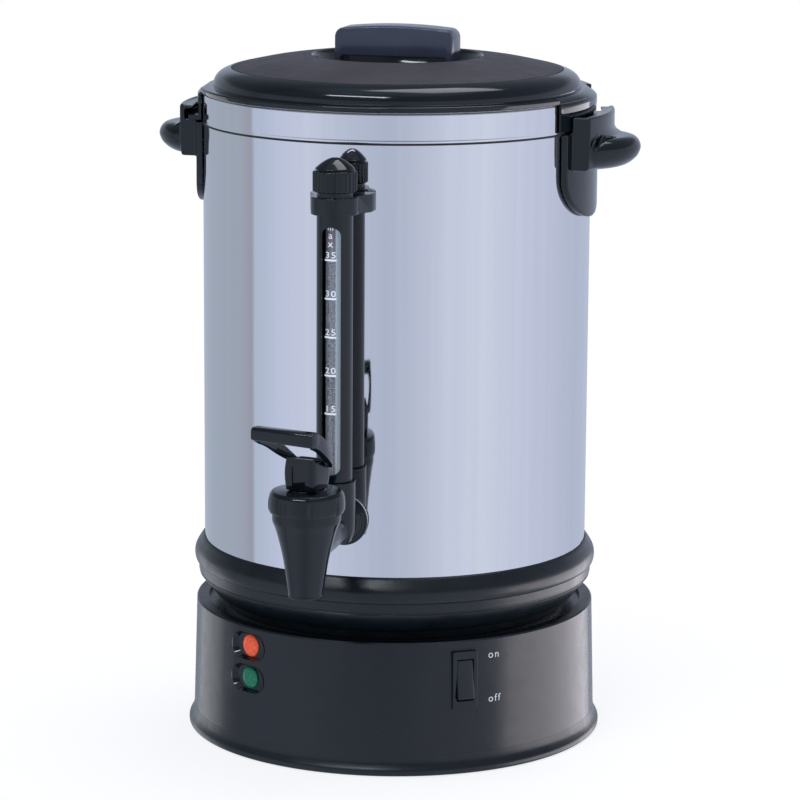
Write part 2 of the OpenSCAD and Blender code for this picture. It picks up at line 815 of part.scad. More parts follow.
module tap_stem() {
    color(zinc) translate([0, -tap_y, 0]) difference() {
        union() {
            translate([0, 0, 134]) cylinder(r = stem_r, h = pin_z - 134);
            translate([0, 0, pin_z]) rotate([0, 90, lever_yaw]) cylinder(r = 4, h = 6, center = true);
        }
        translate([0, 0, pin_z]) rotate([0, 90, lever_yaw]) cylinder(r = 1.57, h = 10, center = true);
    }
}

module seat_cup() {
    color(silicone) translate([0, -tap_y, 0]) rotate_extrude() polygon([
        [0, seat_z], [8, seat_z], [8.6, seat_z + 1], [8.6, 136], [7.4, 140],
        [stem_r, 140], [stem_r, 134], [0, 134]
    ]);
}

module tap_spring() {
    coil_r = 5.4;
    wire = 0.6;
    turns = 7;
    per_turn = 20;
    low = 140.1 + wire;
    high = ceiling_z - 0.1 - wire;
    helix = [for (i = [0 : turns * per_turn]) [coil_r * cos(360 * i / per_turn),
        coil_r * sin(360 * i / per_turn), low + (high - low) * i / turns / per_turn]];
    color(steel) translate([0, -tap_y, 0]) swept(helix, wire, wire_sides, [0, 0, 1]);
}

module at_pin() {
    translate([0, -tap_y, pin_z]) rotate([0, 0, lever_yaw]) children();
}

// The lever's loop in its own plane: a frame that widens towards the front bar.
module loop_outline() {
    half = lever_bar / 2;
    difference() {
        polygon([
            [-8.9, 5], [8.9, 5], [11, -6], [half - 1, -19], [half, -23], [half, -29],
            [-half, -29], [-half, -23], [-half + 1, -19], [-11, -6]
        ]);
        polygon([[-6.5, -7.5], [6.5, -7.5], [half - 5.5, -19], [half - 5.5, -21.5],
            [-half + 5.5, -21.5], [-half + 5.5, -19]]);
    }
}

module tap_lever() {
    loop_t = 6.6;
    color(black) at_pin() difference() {
        union() {
            intersection() {
                translate([-hub_w / 2, -hub_w / 2, -9.2]) cube([hub_w, hub_w, 17.4]);
                translate([0, 0, -20]) cylinder(r = 11.4, h = 40);
            }
            translate([0, -3, 5]) rotate([-lever_rise, 0, 0]) translate([0, 0, -loop_t / 2]) {
                linear_extrude(loop_t) loop_outline();
                translate([0, -27, loop_t / 2]) rotate([0, 90, 0])
                    cylinder(r = 4.4, h = lever_bar, center = true);
            }
        }
        translate([-3.3, -7.6, -10]) cube([6.6, 12, 14.6]);
        rotate([0, 90, 0]) cylinder(r = 1.5, h = 30, center = true);
    }
}

module lever_pin() {
    color(zinc) at_pin() rotate([0, 90, 0]) cylinder(r = 1.5, h = hub_w - 0.6, center = true);
}

// ---------------------------------------------------------------- gauge

module at_gauge() { translate([0, -gauge_y, 0]) children(); }

module gauge_shield() {
    window_low = 174;
    window_high = 308.5;
    color(black) at_gauge() difference() {
        translate([0, 0, boss_top]) tube(shield_r, 8.2, shield_top - boss_top);
        translate([0, 0, (window_low + window_high) / 2]) rotate([90, 0, 0]) rotate([0, 0, 90])
            linear_extrude(30) stadium(window_high - window_low, window_w);
    }
}

module gauge_glass() {
    color([0.8, 0.85, 0.9, 0.5]) at_gauge() translate([0, 0, glass_low])
        tube(glass_r, 4.9, glass_top - glass_low);
}

module gauge_seals() {
    color(silicone) at_gauge() {
        translate([0, 0, boss_top - 6]) tube(7.65, glass_r + 0.05, 6);
        translate([0, 0, 309.5]) tube(8.15, glass_r + 0.05, 3.5);
    }
}

module gauge_clip() {
    color(black) difference() {
        union() {
            at_gauge() translate([0, 0, clip_z]) cylinder(r = clip_r, h = clip_h);
            translate([0, 0, clip_z]) linear_extrude(clip_h) polygon([
                [-clip_waist / 2, -gauge_y + 2.5], [clip_waist / 2, -gauge_y + 2.5],
                [clip_foot / 2, -clip_front], [clip_foot / 2, -105],
                [-clip_foot / 2, -105], [-clip_foot / 2, -clip_front]]);
        }
        at_gauge() translate([0, 0, clip_z - 1]) cylinder(r = shield_r + 0.1, h = clip_h + 2);
        cylinder(r = tank_r + 0.02, h = 400);
        on_wall(0, clip_z + clip_h / 2, 100) cylinder(r = 1.5, h = 17);
    }
}

module clip_screw() {
    color(zinc) on_wall(0, clip_z + clip_h / 2, tank_in - 2) {
        cylinder(r = 2.8, h = 1.9);
        translate([0, 0, 1.9 - eps]) cylinder(r = 1.45, h = 7);
    }
}

module cap_seal() {
    color(silicone) at_gauge() translate([0, 0, shield_top]) tube(9.4, 8.4, 1.4);
}

module gauge_cap() {
    knurl_z = 327;
    knurl_h = 11.5;
    color(black) at_gauge() {
        difference() {
            rotate_extrude() polygon([
                [0, 316], [7.9, 316], [7.9, shield_top + 1.4], [9.5, shield_top + 1.4],
                [9.5, knurl_z], [11.2, knurl_z], [11.8, knurl_z + 0.8],
                [11.8, knurl_z + knurl_h - 0.6], [11.4, knurl_z + knurl_h],
                [9.6, knurl_z + knurl_h], [9.6, 339.1], [10.7, 339.6], [7.6, 342.3],
                [4.6, 344.3], [1.6, 345.4], [0, 345.5]
            ]);
            for (i = [0 : cap_ribs - 1]) rotate([0, 0, i * 360 / cap_ribs])
                translate([12.2, 0, knurl_z - 1]) cylinder(r = 0.8, h = knurl_h + 2, $fn = 16);
        }
    }
}

// ---------------------------------------------------------------- percolator

module pump_tube() {
    color(steel) {
        translate([0, 0, well_low + 8]) tube(tube_r, tube_r - 0.8, tube_top - well_low - 8);
        translate([0, 0, basket_floor - 3]) tube(9, tube_r - eps, 3);
    }
}

module pump_foot() {
    color(steel) difference() {
        rotate_extrude() polygon([
            [tube_r + 0.05, 112], [tube_r + 2, 112], [tube_r + 2, 102], [20, 94],
            [20, well_low + 1], [18.8, well_low + 1], [18.8, 93.4], [tube_r + 0.05, 99.6]
        ]);
        for (a = [0 : 60 : 300]) rotate([0, 0, a]) translate([15, 0, well_low + 3])
            rotate([0, 90, 0]) cylinder(r = 1.5, h = 10);
    }
}

// Holes on rings about the axis: each entry is a ring's radius and its number of holes.
module hole_rings(rings, hole_r) {
    for (ring = rings) for (i = [0 : ring[1] - 1]) rotate([0, 0, 360 * i / ring[1]])
        translate([ring[0], 0, 0]) cylinder(r = hole_r, h = 12, center = true, $fn = 16);
}

module coffee_basket() {
    color(steel) difference() {
        rotate_extrude() polygon([
            [tube_r + 0.4, basket_floor], [basket_r - 3, basket_floor], [basket_r, basket_floor + 3],
            [basket_r, basket_rim], [basket_r - 0.8, basket_rim], [basket_r - 0.8, basket_floor + 3.4],
            [basket_r - 3.4, basket_floor + 0.8], [tube_r + 1.4, basket_floor + 0.8],
            [tube_r + 1.4, basket_rim - 12], [tube_r + 0.4, basket_rim - 12]
        ]);
        translate([0, 0, basket_floor]) hole_rings([[20, 8], [38, 14], [56, 20], [74, 26]], 1.2);
    }
}

module basket_cover() {
    color(steel) difference() {
        rotate_extrude() polygon([
            [tube_r + 0.4, basket_rim - 6], [basket_r - 3, basket_rim - 6],
            [basket_r - 2, basket_rim - 5], [basket_r - 2, basket_rim], [basket_r + 1.5, basket_rim],
            [basket_r + 1.5, basket_rim + 0.8], [basket_r - 2.8, basket_rim + 0.8],
            [basket_r - 2.8, basket_rim - 5.2], [tube_r + 0.4, basket_rim - 5.2]
        ]);
        translate([0, 0, basket_rim - 6]) hole_rings([[22, 8], [44, 12], [66, 16]], 1.2);
    }
}

foot_ring();
base_plate();
foot_pads();
base_screws();
base_housing();
lamp_bezels();
heating_lamp_lens();
warm_lamp_lens();
lamp_bodies();
switch_frame();
switch_rocker();
switch_body();
power_inlet();
inlet_pins();
inlet_screws();
wiring();
neck_collar();
tank_studs();
stud_nuts();
stud_spacers();
heat_shield();
main_heater();
warm_heater();
thermostat();
thermal_fuse();
tank_shell();
pump_well();
rim_band();
handle_left();
handle_right();
handle_screws();
lid_gasket();
lid_ring();
lid_dome();
lid_bowl();
lid_handle();
lid_liner();
lid_spacers();
lid_screws();
tap_shank();
shank_gaskets();
shank_nut();
tap_body();
tap_bonnet();
tap_stem();
seat_cup();
tap_spring();
tap_lever();
lever_pin();
gauge_shield();
gauge_glass();
gauge_seals();
gauge_clip();
clip_screw();
cap_seal();
gauge_cap();
pump_tube();
pump_foot();
coffee_basket();
basket_cover();
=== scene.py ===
# %% [markdown]
# # A coffee urn
# The urn is a mirror-polished steel tank on a black base, with a spring tap and a gauge glass in
# front, a handle on each side and a twist-lock lid. Its frame comes from the CAD: every part that
# moves has its place and its joint there. This lesson dresses that frame. Hidden parts keep their
# CAD shape and get a finish, and most parts that show are made again with their real edges.

# %% Load the frame
import json
import math

import bmesh
import bpy
from mathutils import Matrix, Vector


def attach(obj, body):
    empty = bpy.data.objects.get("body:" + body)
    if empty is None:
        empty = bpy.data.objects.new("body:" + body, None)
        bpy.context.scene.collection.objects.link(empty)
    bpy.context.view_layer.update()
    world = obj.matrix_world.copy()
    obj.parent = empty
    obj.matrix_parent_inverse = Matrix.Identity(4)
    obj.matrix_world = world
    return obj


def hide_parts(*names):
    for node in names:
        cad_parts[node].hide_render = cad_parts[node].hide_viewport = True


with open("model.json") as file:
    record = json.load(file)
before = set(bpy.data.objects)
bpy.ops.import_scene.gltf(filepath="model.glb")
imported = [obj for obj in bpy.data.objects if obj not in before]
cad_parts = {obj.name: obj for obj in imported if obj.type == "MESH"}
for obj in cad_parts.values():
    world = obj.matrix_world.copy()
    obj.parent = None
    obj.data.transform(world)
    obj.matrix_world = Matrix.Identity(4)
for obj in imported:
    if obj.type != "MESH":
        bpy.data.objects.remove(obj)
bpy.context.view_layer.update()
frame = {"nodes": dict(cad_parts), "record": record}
scene = bpy.context.scene
MM = 0.001

# %% [markdown]
# ## Camera
# The camera stands in front, a little to the right of the tap and above the lid's height. A long
# lens from two metres keeps the tank's sides nearly parallel, as a shop's catalogue does. A wide
# lens from close by would fill the same frame but make the lid loom over the base.

# %% Camera
SENSOR_MM, LENS_MM, SHIFT_ACROSS = 36, 157.7, 0.0056
STAND = (0.5027, -1.9162, 0.583)  # metres
TURN, TILT, ROLL = 14.7, 78.75, 0.34  # degrees
camera_data = bpy.data.cameras.new("camera")
camera_data.sensor_width = SENSOR_MM
camera_data.lens = LENS_MM
camera_data.shift_x = SHIFT_ACROSS
camera = bpy.data.objects.new("camera", camera_data)
camera.location = STAND
facing = Matrix.Rotation(math.radians(TURN), 3, "Z") @ Matrix.Rotation(math.radians(TILT), 3, "X")
camera.rotation_euler = (facing @ Matrix.Rotation(math.radians(ROLL), 3, "Z")).to_euler()
scene.collection.objects.link(camera)
scene.camera = camera
print("camera", tuple(camera.location))

# %% [markdown]
# ## Studio
# Polished steel has hardly a colour of its own: it shows the room. So the room is drawn first, as
# soft upright bands of light round the horizon in the world shader, which a photographer would set
# up with tall cards. A picture of a real studio could be wrapped round instead, but then the bands
# couldn't be placed. The light is strongest low down, weaker higher up and stronger again
# overhead, as in a room with a dim wall above the cards. What the camera sees directly is white.

# %% Bands of light round the horizon
BANDS = [  # direction in degrees from the tap's side, and the light that comes from there
    (-180, (0.50, 0.56, 0.70)), (-150, (0.43, 0.49, 0.60)), (-128, (0.39, 0.45, 0.54)),
    (-92, (0.39, 0.44, 0.52)), (-80, (0.36, 0.37, 0.44)), (-78, (0.48, 0.56, 0.69)),
    (-60, (0.57, 0.63, 0.80)), (-40, (0.64, 0.69, 0.84)), (-18, (0.56, 0.62, 0.76)),
    (8, (0.48, 0.54, 0.67)), (26, (0.54, 0.59, 0.73)), (44, (0.64, 0.69, 0.84)),
    (70, (0.68, 0.74, 0.87)), (92, (0.63, 0.68, 0.84)), (122, (0.57, 0.62, 0.78)),
    (150, (0.50, 0.55, 0.69)), (180, (0.50, 0.56, 0.70)),
]
LEVELS = ((0.22, 1), (0.36, 0.4), (0.8, 0.4), (0.93, 0.9))  # sine of the height, and strength
world = bpy.data.worlds.new("studio")
scene.world = world
world.use_nodes = True
tree = world.node_tree
tree.nodes.clear()


def wire(a, b):
    a.id_data.links.new(a, b)
    return b


def new_node(tree, kind, sockets=None, **settings):
    """Adds a node. A socket is given a plain value, or another node's output to follow."""
    node = tree.nodes.new(kind)
    for key, value in settings.items():
        setattr(node, key, value)
    for key, value in (sockets or {}).items():
        if isinstance(value, bpy.types.NodeSocket):
            wire(value, node.inputs[key])
        else:
            node.inputs[key].default_value = value
    return node


direction = new_node(tree, "ShaderNodeTexCoord")
parts = new_node(tree, "ShaderNodeSeparateXYZ", {0: direction.outputs["Generated"]})
forward = new_node(tree, "ShaderNodeMath", {0: parts.outputs["Y"], 1: -1}, operation="MULTIPLY")
turn = new_node(tree, "ShaderNodeMath", {0: parts.outputs["X"], 1: forward.outputs[0]},
                operation="ARCTAN2")
along = new_node(tree, "ShaderNodeMapRange", {
    "Value": turn.outputs[0], "From Min": -math.pi, "From Max": math.pi})
ramp = new_node(tree, "ShaderNodeValToRGB", {0: along.outputs[0]})
stops = ramp.color_ramp.elements
for degrees, light in BANDS[1:-1]:
    stops.new((degrees + 180) / 360).color = (*light, 1)
stops[0].color = (*BANDS[0][1], 1)
stops[len(stops) - 1].color = (*BANDS[-1][1], 1)
rise = new_node(tree, "ShaderNodeValToRGB", {0: parts.outputs["Z"]})
rise_stops = rise.color_ramp.elements
rise_stops[0].color = rise_stops[1].color = (1, 1, 1, 1)
for sine, level in LEVELS:
    rise_stops.new(sine).color = (level, level, level, 1)
room = new_node(tree, "ShaderNodeBackground", {
    "Color": ramp.outputs["Color"], "Strength": rise.outputs["Color"]})
plain = new_node(tree, "ShaderNodeBackground", {"Color": (1, 1, 1, 1)})
seen = new_node(tree, "ShaderNodeLightPath")
choose = new_node(tree, "ShaderNodeMixShader", {
    0: seen.outputs["Is Camera Ray"], 1: room.outputs[0], 2: plain.outputs[0]})
new_node(tree, "ShaderNodeOutputWorld", {"Surface": choose.outputs[0]})
scene.view_settings.view_transform = "Standard"
scene.view_settings.look = "None"
print(len(BANDS), "bands of light")

# %% [markdown]
# ## Lamps
# Black plastic shows its shape only by its highlights. Two cards stand low at the sides: a wide
# one on the right and a weaker one on the left, and they lighten the base toward the outline. They
# are low because an upright wall seen from above mirrors what lies below the horizon. A narrow
# lamp high in front draws the crisp lines on the edges, and one overhead gives the long highlight
# on the lid.

# %% Soft lamps
AIM = Vector((0, 0, 0.2))  # the middle of the urn, in metres


def soft_lamp(name, place, size, watts, colour):
    data = bpy.data.lights.new(name, "AREA")
    data.shape = "RECTANGLE"
    data.size, data.size_y = size
    data.energy = watts
    data.color = colour
    lamp = bpy.data.objects.new(name, data)
    lamp.location = place
    lamp.rotation_euler = (AIM - Vector(place)).to_track_quat("-Z", "Y").to_euler()
    scene.collection.objects.link(lamp)
    return lamp


lamps = [
    soft_lamp("right_card", (1.57, 0.87, -0.3), (3.0, 1.1), 25, (1, 0.94, 0.97)),
    soft_lamp("left_card", (-1.53, 0.75, -0.3), (1.0, 1.1), 3, (0.98, 0.97, 1)),
    soft_lamp("front_lamp", (-0.45, -1.6, 2.2), (1.4, 0.22), 17, (0.90, 0.96, 1)),
    soft_lamp("top_lamp", (0.3, 0.6, 2.4), (1.2, 1.2), 14, (0.97, 0.96, 1)),
]
print("lamps", {lamp.name: lamp.data.energy for lamp in lamps})

# %% [markdown]
# ## Floor
# The floor is a small pale disc that thins out to nothing, so no edge of a table shows. A large
# plane would do as well for the camera, but the tank would mirror its far side.

# %% Floor
FLOOR_R, FADE_FROM, UNDER_FOOT, SIDES = 0.34, 0.13, -0.0004, 96
ring = [(FLOOR_R * math.cos(math.tau * i / SIDES), FLOOR_R * math.sin(math.tau * i / SIDES),
         UNDER_FOOT) for i in range(SIDES)]
floor_mesh = bpy.data.meshes.new("floor")
floor_mesh.from_pydata(ring, [], [list(range(SIDES))])
floor = bpy.data.objects.new("floor", floor_mesh)
scene.collection.objects.link(floor)
floor.visible_glossy = False
floor_finish = bpy.data.materials.new("floor")
floor_finish.use_nodes = True
tree = floor_finish.node_tree
tree.nodes.clear()
spot = new_node(tree, "ShaderNodeTexCoord")
reach = new_node(tree, "ShaderNodeVectorMath", {0: spot.outputs["Object"]}, operation="LENGTH")
fade = new_node(tree, "ShaderNodeMapRange", {
    "Value": reach.outputs["Value"], "From Min": FADE_FROM, "From Max": FLOOR_R},
    interpolation_type="SMOOTHSTEP")
grey = new_node(tree, "ShaderNodeBsdfDiffuse", {"Color": (0.35, 0.35, 0.36, 1)})
glow = new_node(tree, "ShaderNodeEmission", {"Strength": 0.78})
lit = new_node(tree, "ShaderNodeAddShader", {0: grey.outputs[0], 1: glow.outputs[0]})
clear = new_node(tree, "ShaderNodeBsdfTransparent")
mixed = new_node(tree, "ShaderNodeMixShader", {
    0: fade.outputs[0], 1: lit.outputs[0], 2: clear.outputs[0]})
new_node(tree, "ShaderNodeOutputMaterial", {"Surface": mixed.outputs[0]})
floor_mesh.materials.append(floor_finish)
print("floor disc", FLOOR_R, "m")

# %% [markdown]
# ## Tools for finishes
# A moulded or drawn surface is never one flat value. Each finish here is the Principled shader
# with three things from noise on Object coordinates, so that they stay on the piece in every
# view: a slight change of colour, a change of roughness, and a fine relief. Image textures could
# hold the same, but would need unwrapping.

# %% Tools for finishes


def new_finish(name, colour, rough, metal=0.0):
    mat = bpy.data.materials.new(name)
    mat.use_nodes = True
    shader = mat.node_tree.nodes["Principled BSDF"]
    shader.inputs["Base Color"].default_value = (*colour, 1)
    shader.inputs["Roughness"].default_value = rough
    shader.inputs["Metallic"].default_value = metal
    return mat, shader


def place_on_piece(mat, stretch=(1, 1, 1), offset=0.0):
    spot = new_node(mat.node_tree, "ShaderNodeTexCoord")
    return new_node(mat.node_tree, "ShaderNodeMapping", {
        "Vector": spot.outputs["Object"], "Location": (offset,) * 3,
        "Scale": stretch}).outputs["Vector"]


def noise(mat, scale, detail=2.0, stretch=(1, 1, 1), offset=0.0, vector=None):
    return new_node(mat.node_tree, "ShaderNodeTexNoise", {
        "Vector": vector or place_on_piece(mat, stretch, offset),
        "Scale": scale, "Detail": detail}).outputs["Fac"]


def spread(mat, value, low, high, start=0.3, end=0.7):
    """Stretches a value's range from start to end into the range from low to high."""
    return new_node(mat.node_tree, "ShaderNodeMapRange", {
        0: value, 1: start, 2: end, 3: low, 4: high}).outputs["Result"]


def tint(mat, value, first, second):
    """Goes from the first colour to the second as the value goes from 0 to 1."""
    first, second = ((*c, 1) if isinstance(c, tuple) else c for c in (first, second))
    return new_node(mat.node_tree, "ShaderNodeMix", {0: value, 6: first, 7: second},
                    data_type="RGBA").outputs[2]


def relief(mat, height, depth_mm, under=None):
    sockets = {"Distance": depth_mm * MM, "Height": height}
    if under:
        sockets["Normal"] = under
    return new_node(mat.node_tree, "ShaderNodeBump", sockets).outputs["Normal"]


def shade(colour, by):
    return tuple(c * by for c in colour)


print("tools for finishes ready")

# %% [markdown]
# ## Black plastics
# The tap, the gauge, the side handles and the lid's ring are glossy ABS. The base's skirt is a
# little duller, the foot ring and the collar are satin, and the lid's insert is matte with a
# fine grain. The lid's handle is a lighter blue-black. They differ only in numbers: the colour,
# the size and depth of the grain, and how far it dulls the gloss. Tiny pale specks stand for the
# dust that black plastic always shows.

# %% Black plastics


def plastic(name, colour, rough, grain_mm, grain_depth_mm, wave_depth_mm=0.0, dust=0.0,
            specular=0.5):
    mat, shader = new_finish(name, colour, rough[0])
    cloud = spread(mat, noise(mat, 35, 3), 0, 1)
    tone = tint(mat, cloud, shade(colour, 0.82), shade(colour, 1.2))
    if dust:
        speck = spread(mat, noise(mat, 1300, 1, offset=3.1), 0, dust, 0.72, 0.8)
        tone = tint(mat, speck, tone, (0.5, 0.5, 0.52))
    wire(tone, shader.inputs["Base Color"])
    wire(spread(mat, noise(mat, 120, 4, offset=1.7), *rough), shader.inputs["Roughness"])
    grain = relief(mat, noise(mat, 1 / (grain_mm * MM), 2), grain_depth_mm)
    if wave_depth_mm:
        grain = relief(mat, noise(mat, 90, 1, offset=5.3), wave_depth_mm, grain)
    wire(grain, shader.inputs["Normal"])
    shader.inputs["Specular IOR Level"].default_value = specular
    return mat


gloss_black = plastic("gloss_black", (0.003, 0.007, 0.010), (0.07, 0.13), 0.9, 0.002, 0.015, 0.05)
satin_black = plastic("satin_black", (0.005, 0.009, 0.012), (0.26, 0.36), 0.35, 0.008, 0.01, 0.08)
lid_handle_black = plastic("lid_handle_black", (0.060, 0.066, 0.105), (0.12, 0.20), 0.9, 0.003,
                           0.01)
matte_black = plastic("matte_black", (0.046, 0.042, 0.050), (0.48, 0.62), 0.5, 0.05, 0, 0.05)
rubber_black = plastic("rubber_black", (0.02, 0.02, 0.02), (0.7, 0.85), 0.6, 0.03)
skirt_black = plastic("skirt_black", (0.004, 0.007, 0.010), (0.22, 0.30), 0.6, 0.004, 0.01, 0.05)
grey_moulding = plastic("grey_moulding", (0.14, 0.14, 0.15), (0.45, 0.6), 0.5, 0.02)
wire_sleeve = plastic("wire_sleeve", (0.50, 0.10, 0.07), (0.5, 0.65), 0.4, 0.03)
print("eight plastics")

# %% [markdown]
# ## Metals
# The tank is drawn over a form and then polished, so its gloss is crossed by faint upright lines.
# They are made from noise that is fed with the angle round the tank instead of a plain position,
# which makes the lines follow the wall. Inner parts are duller, with short scratches all ways.

# %% Metals


def round_the_tank(mat, per_radian, per_metre):
    tree = mat.node_tree
    spot = new_node(tree, "ShaderNodeTexCoord")
    parts = new_node(tree, "ShaderNodeSeparateXYZ", {0: spot.outputs["Object"]})
    angle = new_node(tree, "ShaderNodeMath", {0: parts.outputs["X"], 1: parts.outputs["Y"]},
                     operation="ARCTAN2")
    joined = new_node(tree, "ShaderNodeCombineXYZ")
    for value, factor, socket in ((angle.outputs[0], per_radian, "X"),
                                  (parts.outputs["Z"], per_metre, "Z")):
        scaled = new_node(tree, "ShaderNodeMath", {0: value, 1: factor}, operation="MULTIPLY")
        wire(scaled.outputs[0], joined.inputs[socket])
    return joined.outputs[0]


def mirror_metal(name, colour):
    mat, shader = new_finish(name, colour, 0.12, 1.0)
    bands = spread(mat, noise(mat, 1, 3, vector=round_the_tank(mat, 22, 1.5)), 0, 1)
    wire(tint(mat, bands, shade(colour, 0.975), shade(colour, 1.02)), shader.inputs["Base Color"])
    lines = noise(mat, 1, 4, vector=round_the_tank(mat, 260, 6))
    wire(spread(mat, lines, 0.035, 0.06), shader.inputs["Roughness"])
    wire(relief(mat, lines, 0.0004), shader.inputs["Normal"])
    return mat


def dull_metal(name, colour, rough, stretch=(1, 1, 6)):
    mat, shader = new_finish(name, colour, rough[0], 1.0)
    stain = spread(mat, noise(mat, 60, 3), 0, 1)
    wire(tint(mat, stain, shade(colour, 0.86), colour), shader.inputs["Base Color"])
    scratch = noise(mat, 420, 4, stretch)
    wire(spread(mat, scratch, *rough), shader.inputs["Roughness"])
    wire(relief(mat, scratch, 0.006), shader.inputs["Normal"])
    return mat


mirror_steel = mirror_metal("mirror_steel", (0.83, 0.83, 0.85))
inner_steel = dull_metal("inner_steel", (0.72, 0.73, 0.75), (0.22, 0.36))
zinc_plate = dull_metal("zinc_plate", (0.60, 0.61, 0.64), (0.3, 0.5), (1, 1, 1))
heater_metal = dull_metal("heater_metal", (0.62, 0.62, 0.64), (0.4, 0.6), (1, 1, 1))
plain_brass = dull_metal("plain_brass", (0.78, 0.62, 0.30), (0.22, 0.38))
print("five metals")

# %% [markdown]
# ## Lenses, glass and rubber
# The lamp lenses are coloured plastic. Their neon behind is unlit, so the weak coloured emission
# is a painted glow that stands in for light coming through the lens. It does that better than full
# transparency, which would show the empty lamp holder. The gauge glass is clear with a trace of
# grey.

# %% Lenses, glass and rubber


def lens(name, colour, glow):
    mat, shader = new_finish(name, colour, 0.2)
    cells = noise(mat, 900, 2)
    wire(tint(mat, spread(mat, cells, 0, 1), shade(colour, 0.6), shade(colour, 1.25)),
         shader.inputs["Base Color"])
    wire(spread(mat, noise(mat, 500, 2, offset=2), 0.12, 0.3), shader.inputs["Roughness"])
    wire(relief(mat, cells, 0.08), shader.inputs["Normal"])
    # a painted glow: the lens emits its own colour though its neon is unlit
    shader.inputs["Emission Color"].default_value = (*colour, 1)
    shader.inputs["Emission Strength"].default_value = glow
    return mat


orange_lens = lens("orange_lens", (0.78, 0.10, 0.03), 0.25)
green_lens = lens("green_lens", (0.0, 0.16, 0.08), 0.12)

clear_glass, shader = new_finish("clear_glass", (0.9, 0.93, 0.95), 0.03)
shader.inputs["Transmission Weight"].default_value = 1
shader.inputs["IOR"].default_value = 1.47
wire(spread(clear_glass, noise(clear_glass, 300, 3), 0.02, 0.08), shader.inputs["Roughness"])
wire(relief(clear_glass, noise(clear_glass, 60, 1), 0.004), shader.inputs["Normal"])

silicone, shader = new_finish("silicone", (0.78, 0.78, 0.75), 0.5)
wire(tint(silicone, noise(silicone, 80, 2), (0.70, 0.70, 0.67), (0.82, 0.82, 0.79)),
     shader.inputs["Base Color"])
wire(spread(silicone, noise(silicone, 200, 2), 0.42, 0.6), shader.inputs["Roughness"])
wire(relief(silicone, noise(silicone, 900, 2), 0.01), shader.inputs["Normal"])

white_print, shader = new_finish("white_print", (0.80, 0.82, 0.86), 0.45)
wire(tint(white_print, spread(white_print, noise(white_print, 1500, 2), 0, 1),
          (0.66, 0.68, 0.72), (0.86, 0.88, 0.92)), shader.inputs["Base Color"])
wire(spread(white_print, noise(white_print, 700, 2), 0.4, 0.6), shader.inputs["Roughness"])
glass_print = white_print.copy()
glass_print.name = "glass_print"
shader = glass_print.node_tree.nodes["Principled BSDF"]
# the print on the glass glows faintly: a painted glow that makes it brighter than its lighting
# does
shader.inputs["Emission Color"].default_value = (0.85, 0.9, 1, 1)
shader.inputs["Emission Strength"].default_value = 0.4
print("lens, glass, rubber and print finishes")

# %% [markdown]
# ## Finish for every CAD node
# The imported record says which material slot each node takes. A loop gives each node the finish
# for its slot, so that a hidden screw is as finished as the tank. Pieces made later hide the
# nodes that they stand for.

# %% Finish for every CAD node
FINISH_OF_SLOT = {
    "mirror_steel": mirror_steel, "inner_steel": inner_steel, "zinc": zinc_plate,
    "heater_metal": heater_metal, "brass": plain_brass, "black_gloss": gloss_black,
    "black_satin": satin_black, "black_matte": matte_black, "black_rubber": rubber_black,
    "grey_plastic": grey_moulding, "wire_insulation": wire_sleeve, "silicone": silicone,
    "orange_lens": orange_lens, "green_lens": green_lens, "clear_glass": clear_glass,
}
slot_of_node = {part["node"]: part["material_slot"] for part in frame["record"]["subparts"]}
for name, node in frame["nodes"].items():
    finish = FINISH_OF_SLOT[slot_of_node[name]]
    if not node.material_slots:
        node.data.materials.append(finish)
    for held in node.material_slots:
        held.material = skirt_black if name == "base_housing" else finish
print("finished", len(slot_of_node), "nodes")

# %% [markdown]
# ## Tools for shapes
# Three ways of making cover almost every piece. A turned piece is a profile spun round an axis,
# with its corners rounded first, so that each edge catches a line of light. A plate or a block is
# an outline given a thickness and bevelled. A moulded piece with blended arms is joined from
# simple solids and remeshed into one skin, which rounds inner and outer corners alike.
# Every list of points from here on is in millimetres: radius and height for a turned piece, X and
# Y for an outline. A third number is that corner's own rounding.

# %% Tools for shapes


def solid(verts, faces, place=Matrix()):
    bm = bmesh.new()
    made = [bm.verts.new((place @ Vector(v)) * MM) for v in verts]
    for face in faces:
        bm.faces.new([made[i] for i in face])
    bmesh.ops.remove_doubles(bm, verts=bm.verts, dist=1e-7)
    bmesh.ops.recalc_face_normals(bm, faces=bm.faces)
    mesh = bpy.data.meshes.new("solid")
    bm.to_mesh(mesh)
    bm.free()
    obj = bpy.data.objects.new("solid", mesh)
    scene.collection.objects.link(obj)
    return obj


SIDE_SHARE, LEAST_ROUND = 0.48, 0.02  # a rounding takes no more of a side, and is no smaller


def soften(points, radius, steps=4):
    """Rounds the corners of a closed outline. A point (x, y, radius) keeps its own radius."""
    out = []
    for i, point in enumerate(points):
        here = Vector(point[:2])
        back = Vector(points[i - 1][:2]) - here
        ahead = Vector(points[(i + 1) % len(points)][:2]) - here
        own = point[2] if len(point) > 2 else radius
        reach = min(own, back.length * SIDE_SHARE, ahead.length * SIDE_SHARE)
        if reach < LEAST_ROUND or here.x == 0:
            out.append(tuple(here))
            continue
        start, end = here + back.normalized() * reach, here + ahead.normalized() * reach
        for k in range(steps + 1):
            t = k / steps
            out.append(tuple(start * (1 - t) ** 2 + here * 2 * t * (1 - t) + end * t * t))
    return out


def arc(x, y, wide, high, angles):
    """Points round (x, y) at these angles: 0 is up and 90 is to the right."""
    return [(x + wide * math.sin(math.radians(a)), y + high * math.cos(math.radians(a)))
            for a in angles]


def curve_through(points, per=5):
    """A smooth line through the points, with so many steps between two of them."""
    out = []
    for i in range(len(points) - 1):
        a, b, c, d = (Vector(points[min(max(k, 0), len(points) - 1)]) for k in range(i - 1, i + 3))
        for k in range(per):
            t = k / per
            out.append(tuple(b + (t * ((c - a) + t * ((2 * a - 5 * b + 4 * c - d)
                                                      + t * (3 * b - a - 3 * c + d)))) / 2))
    return out + [tuple(points[-1])]


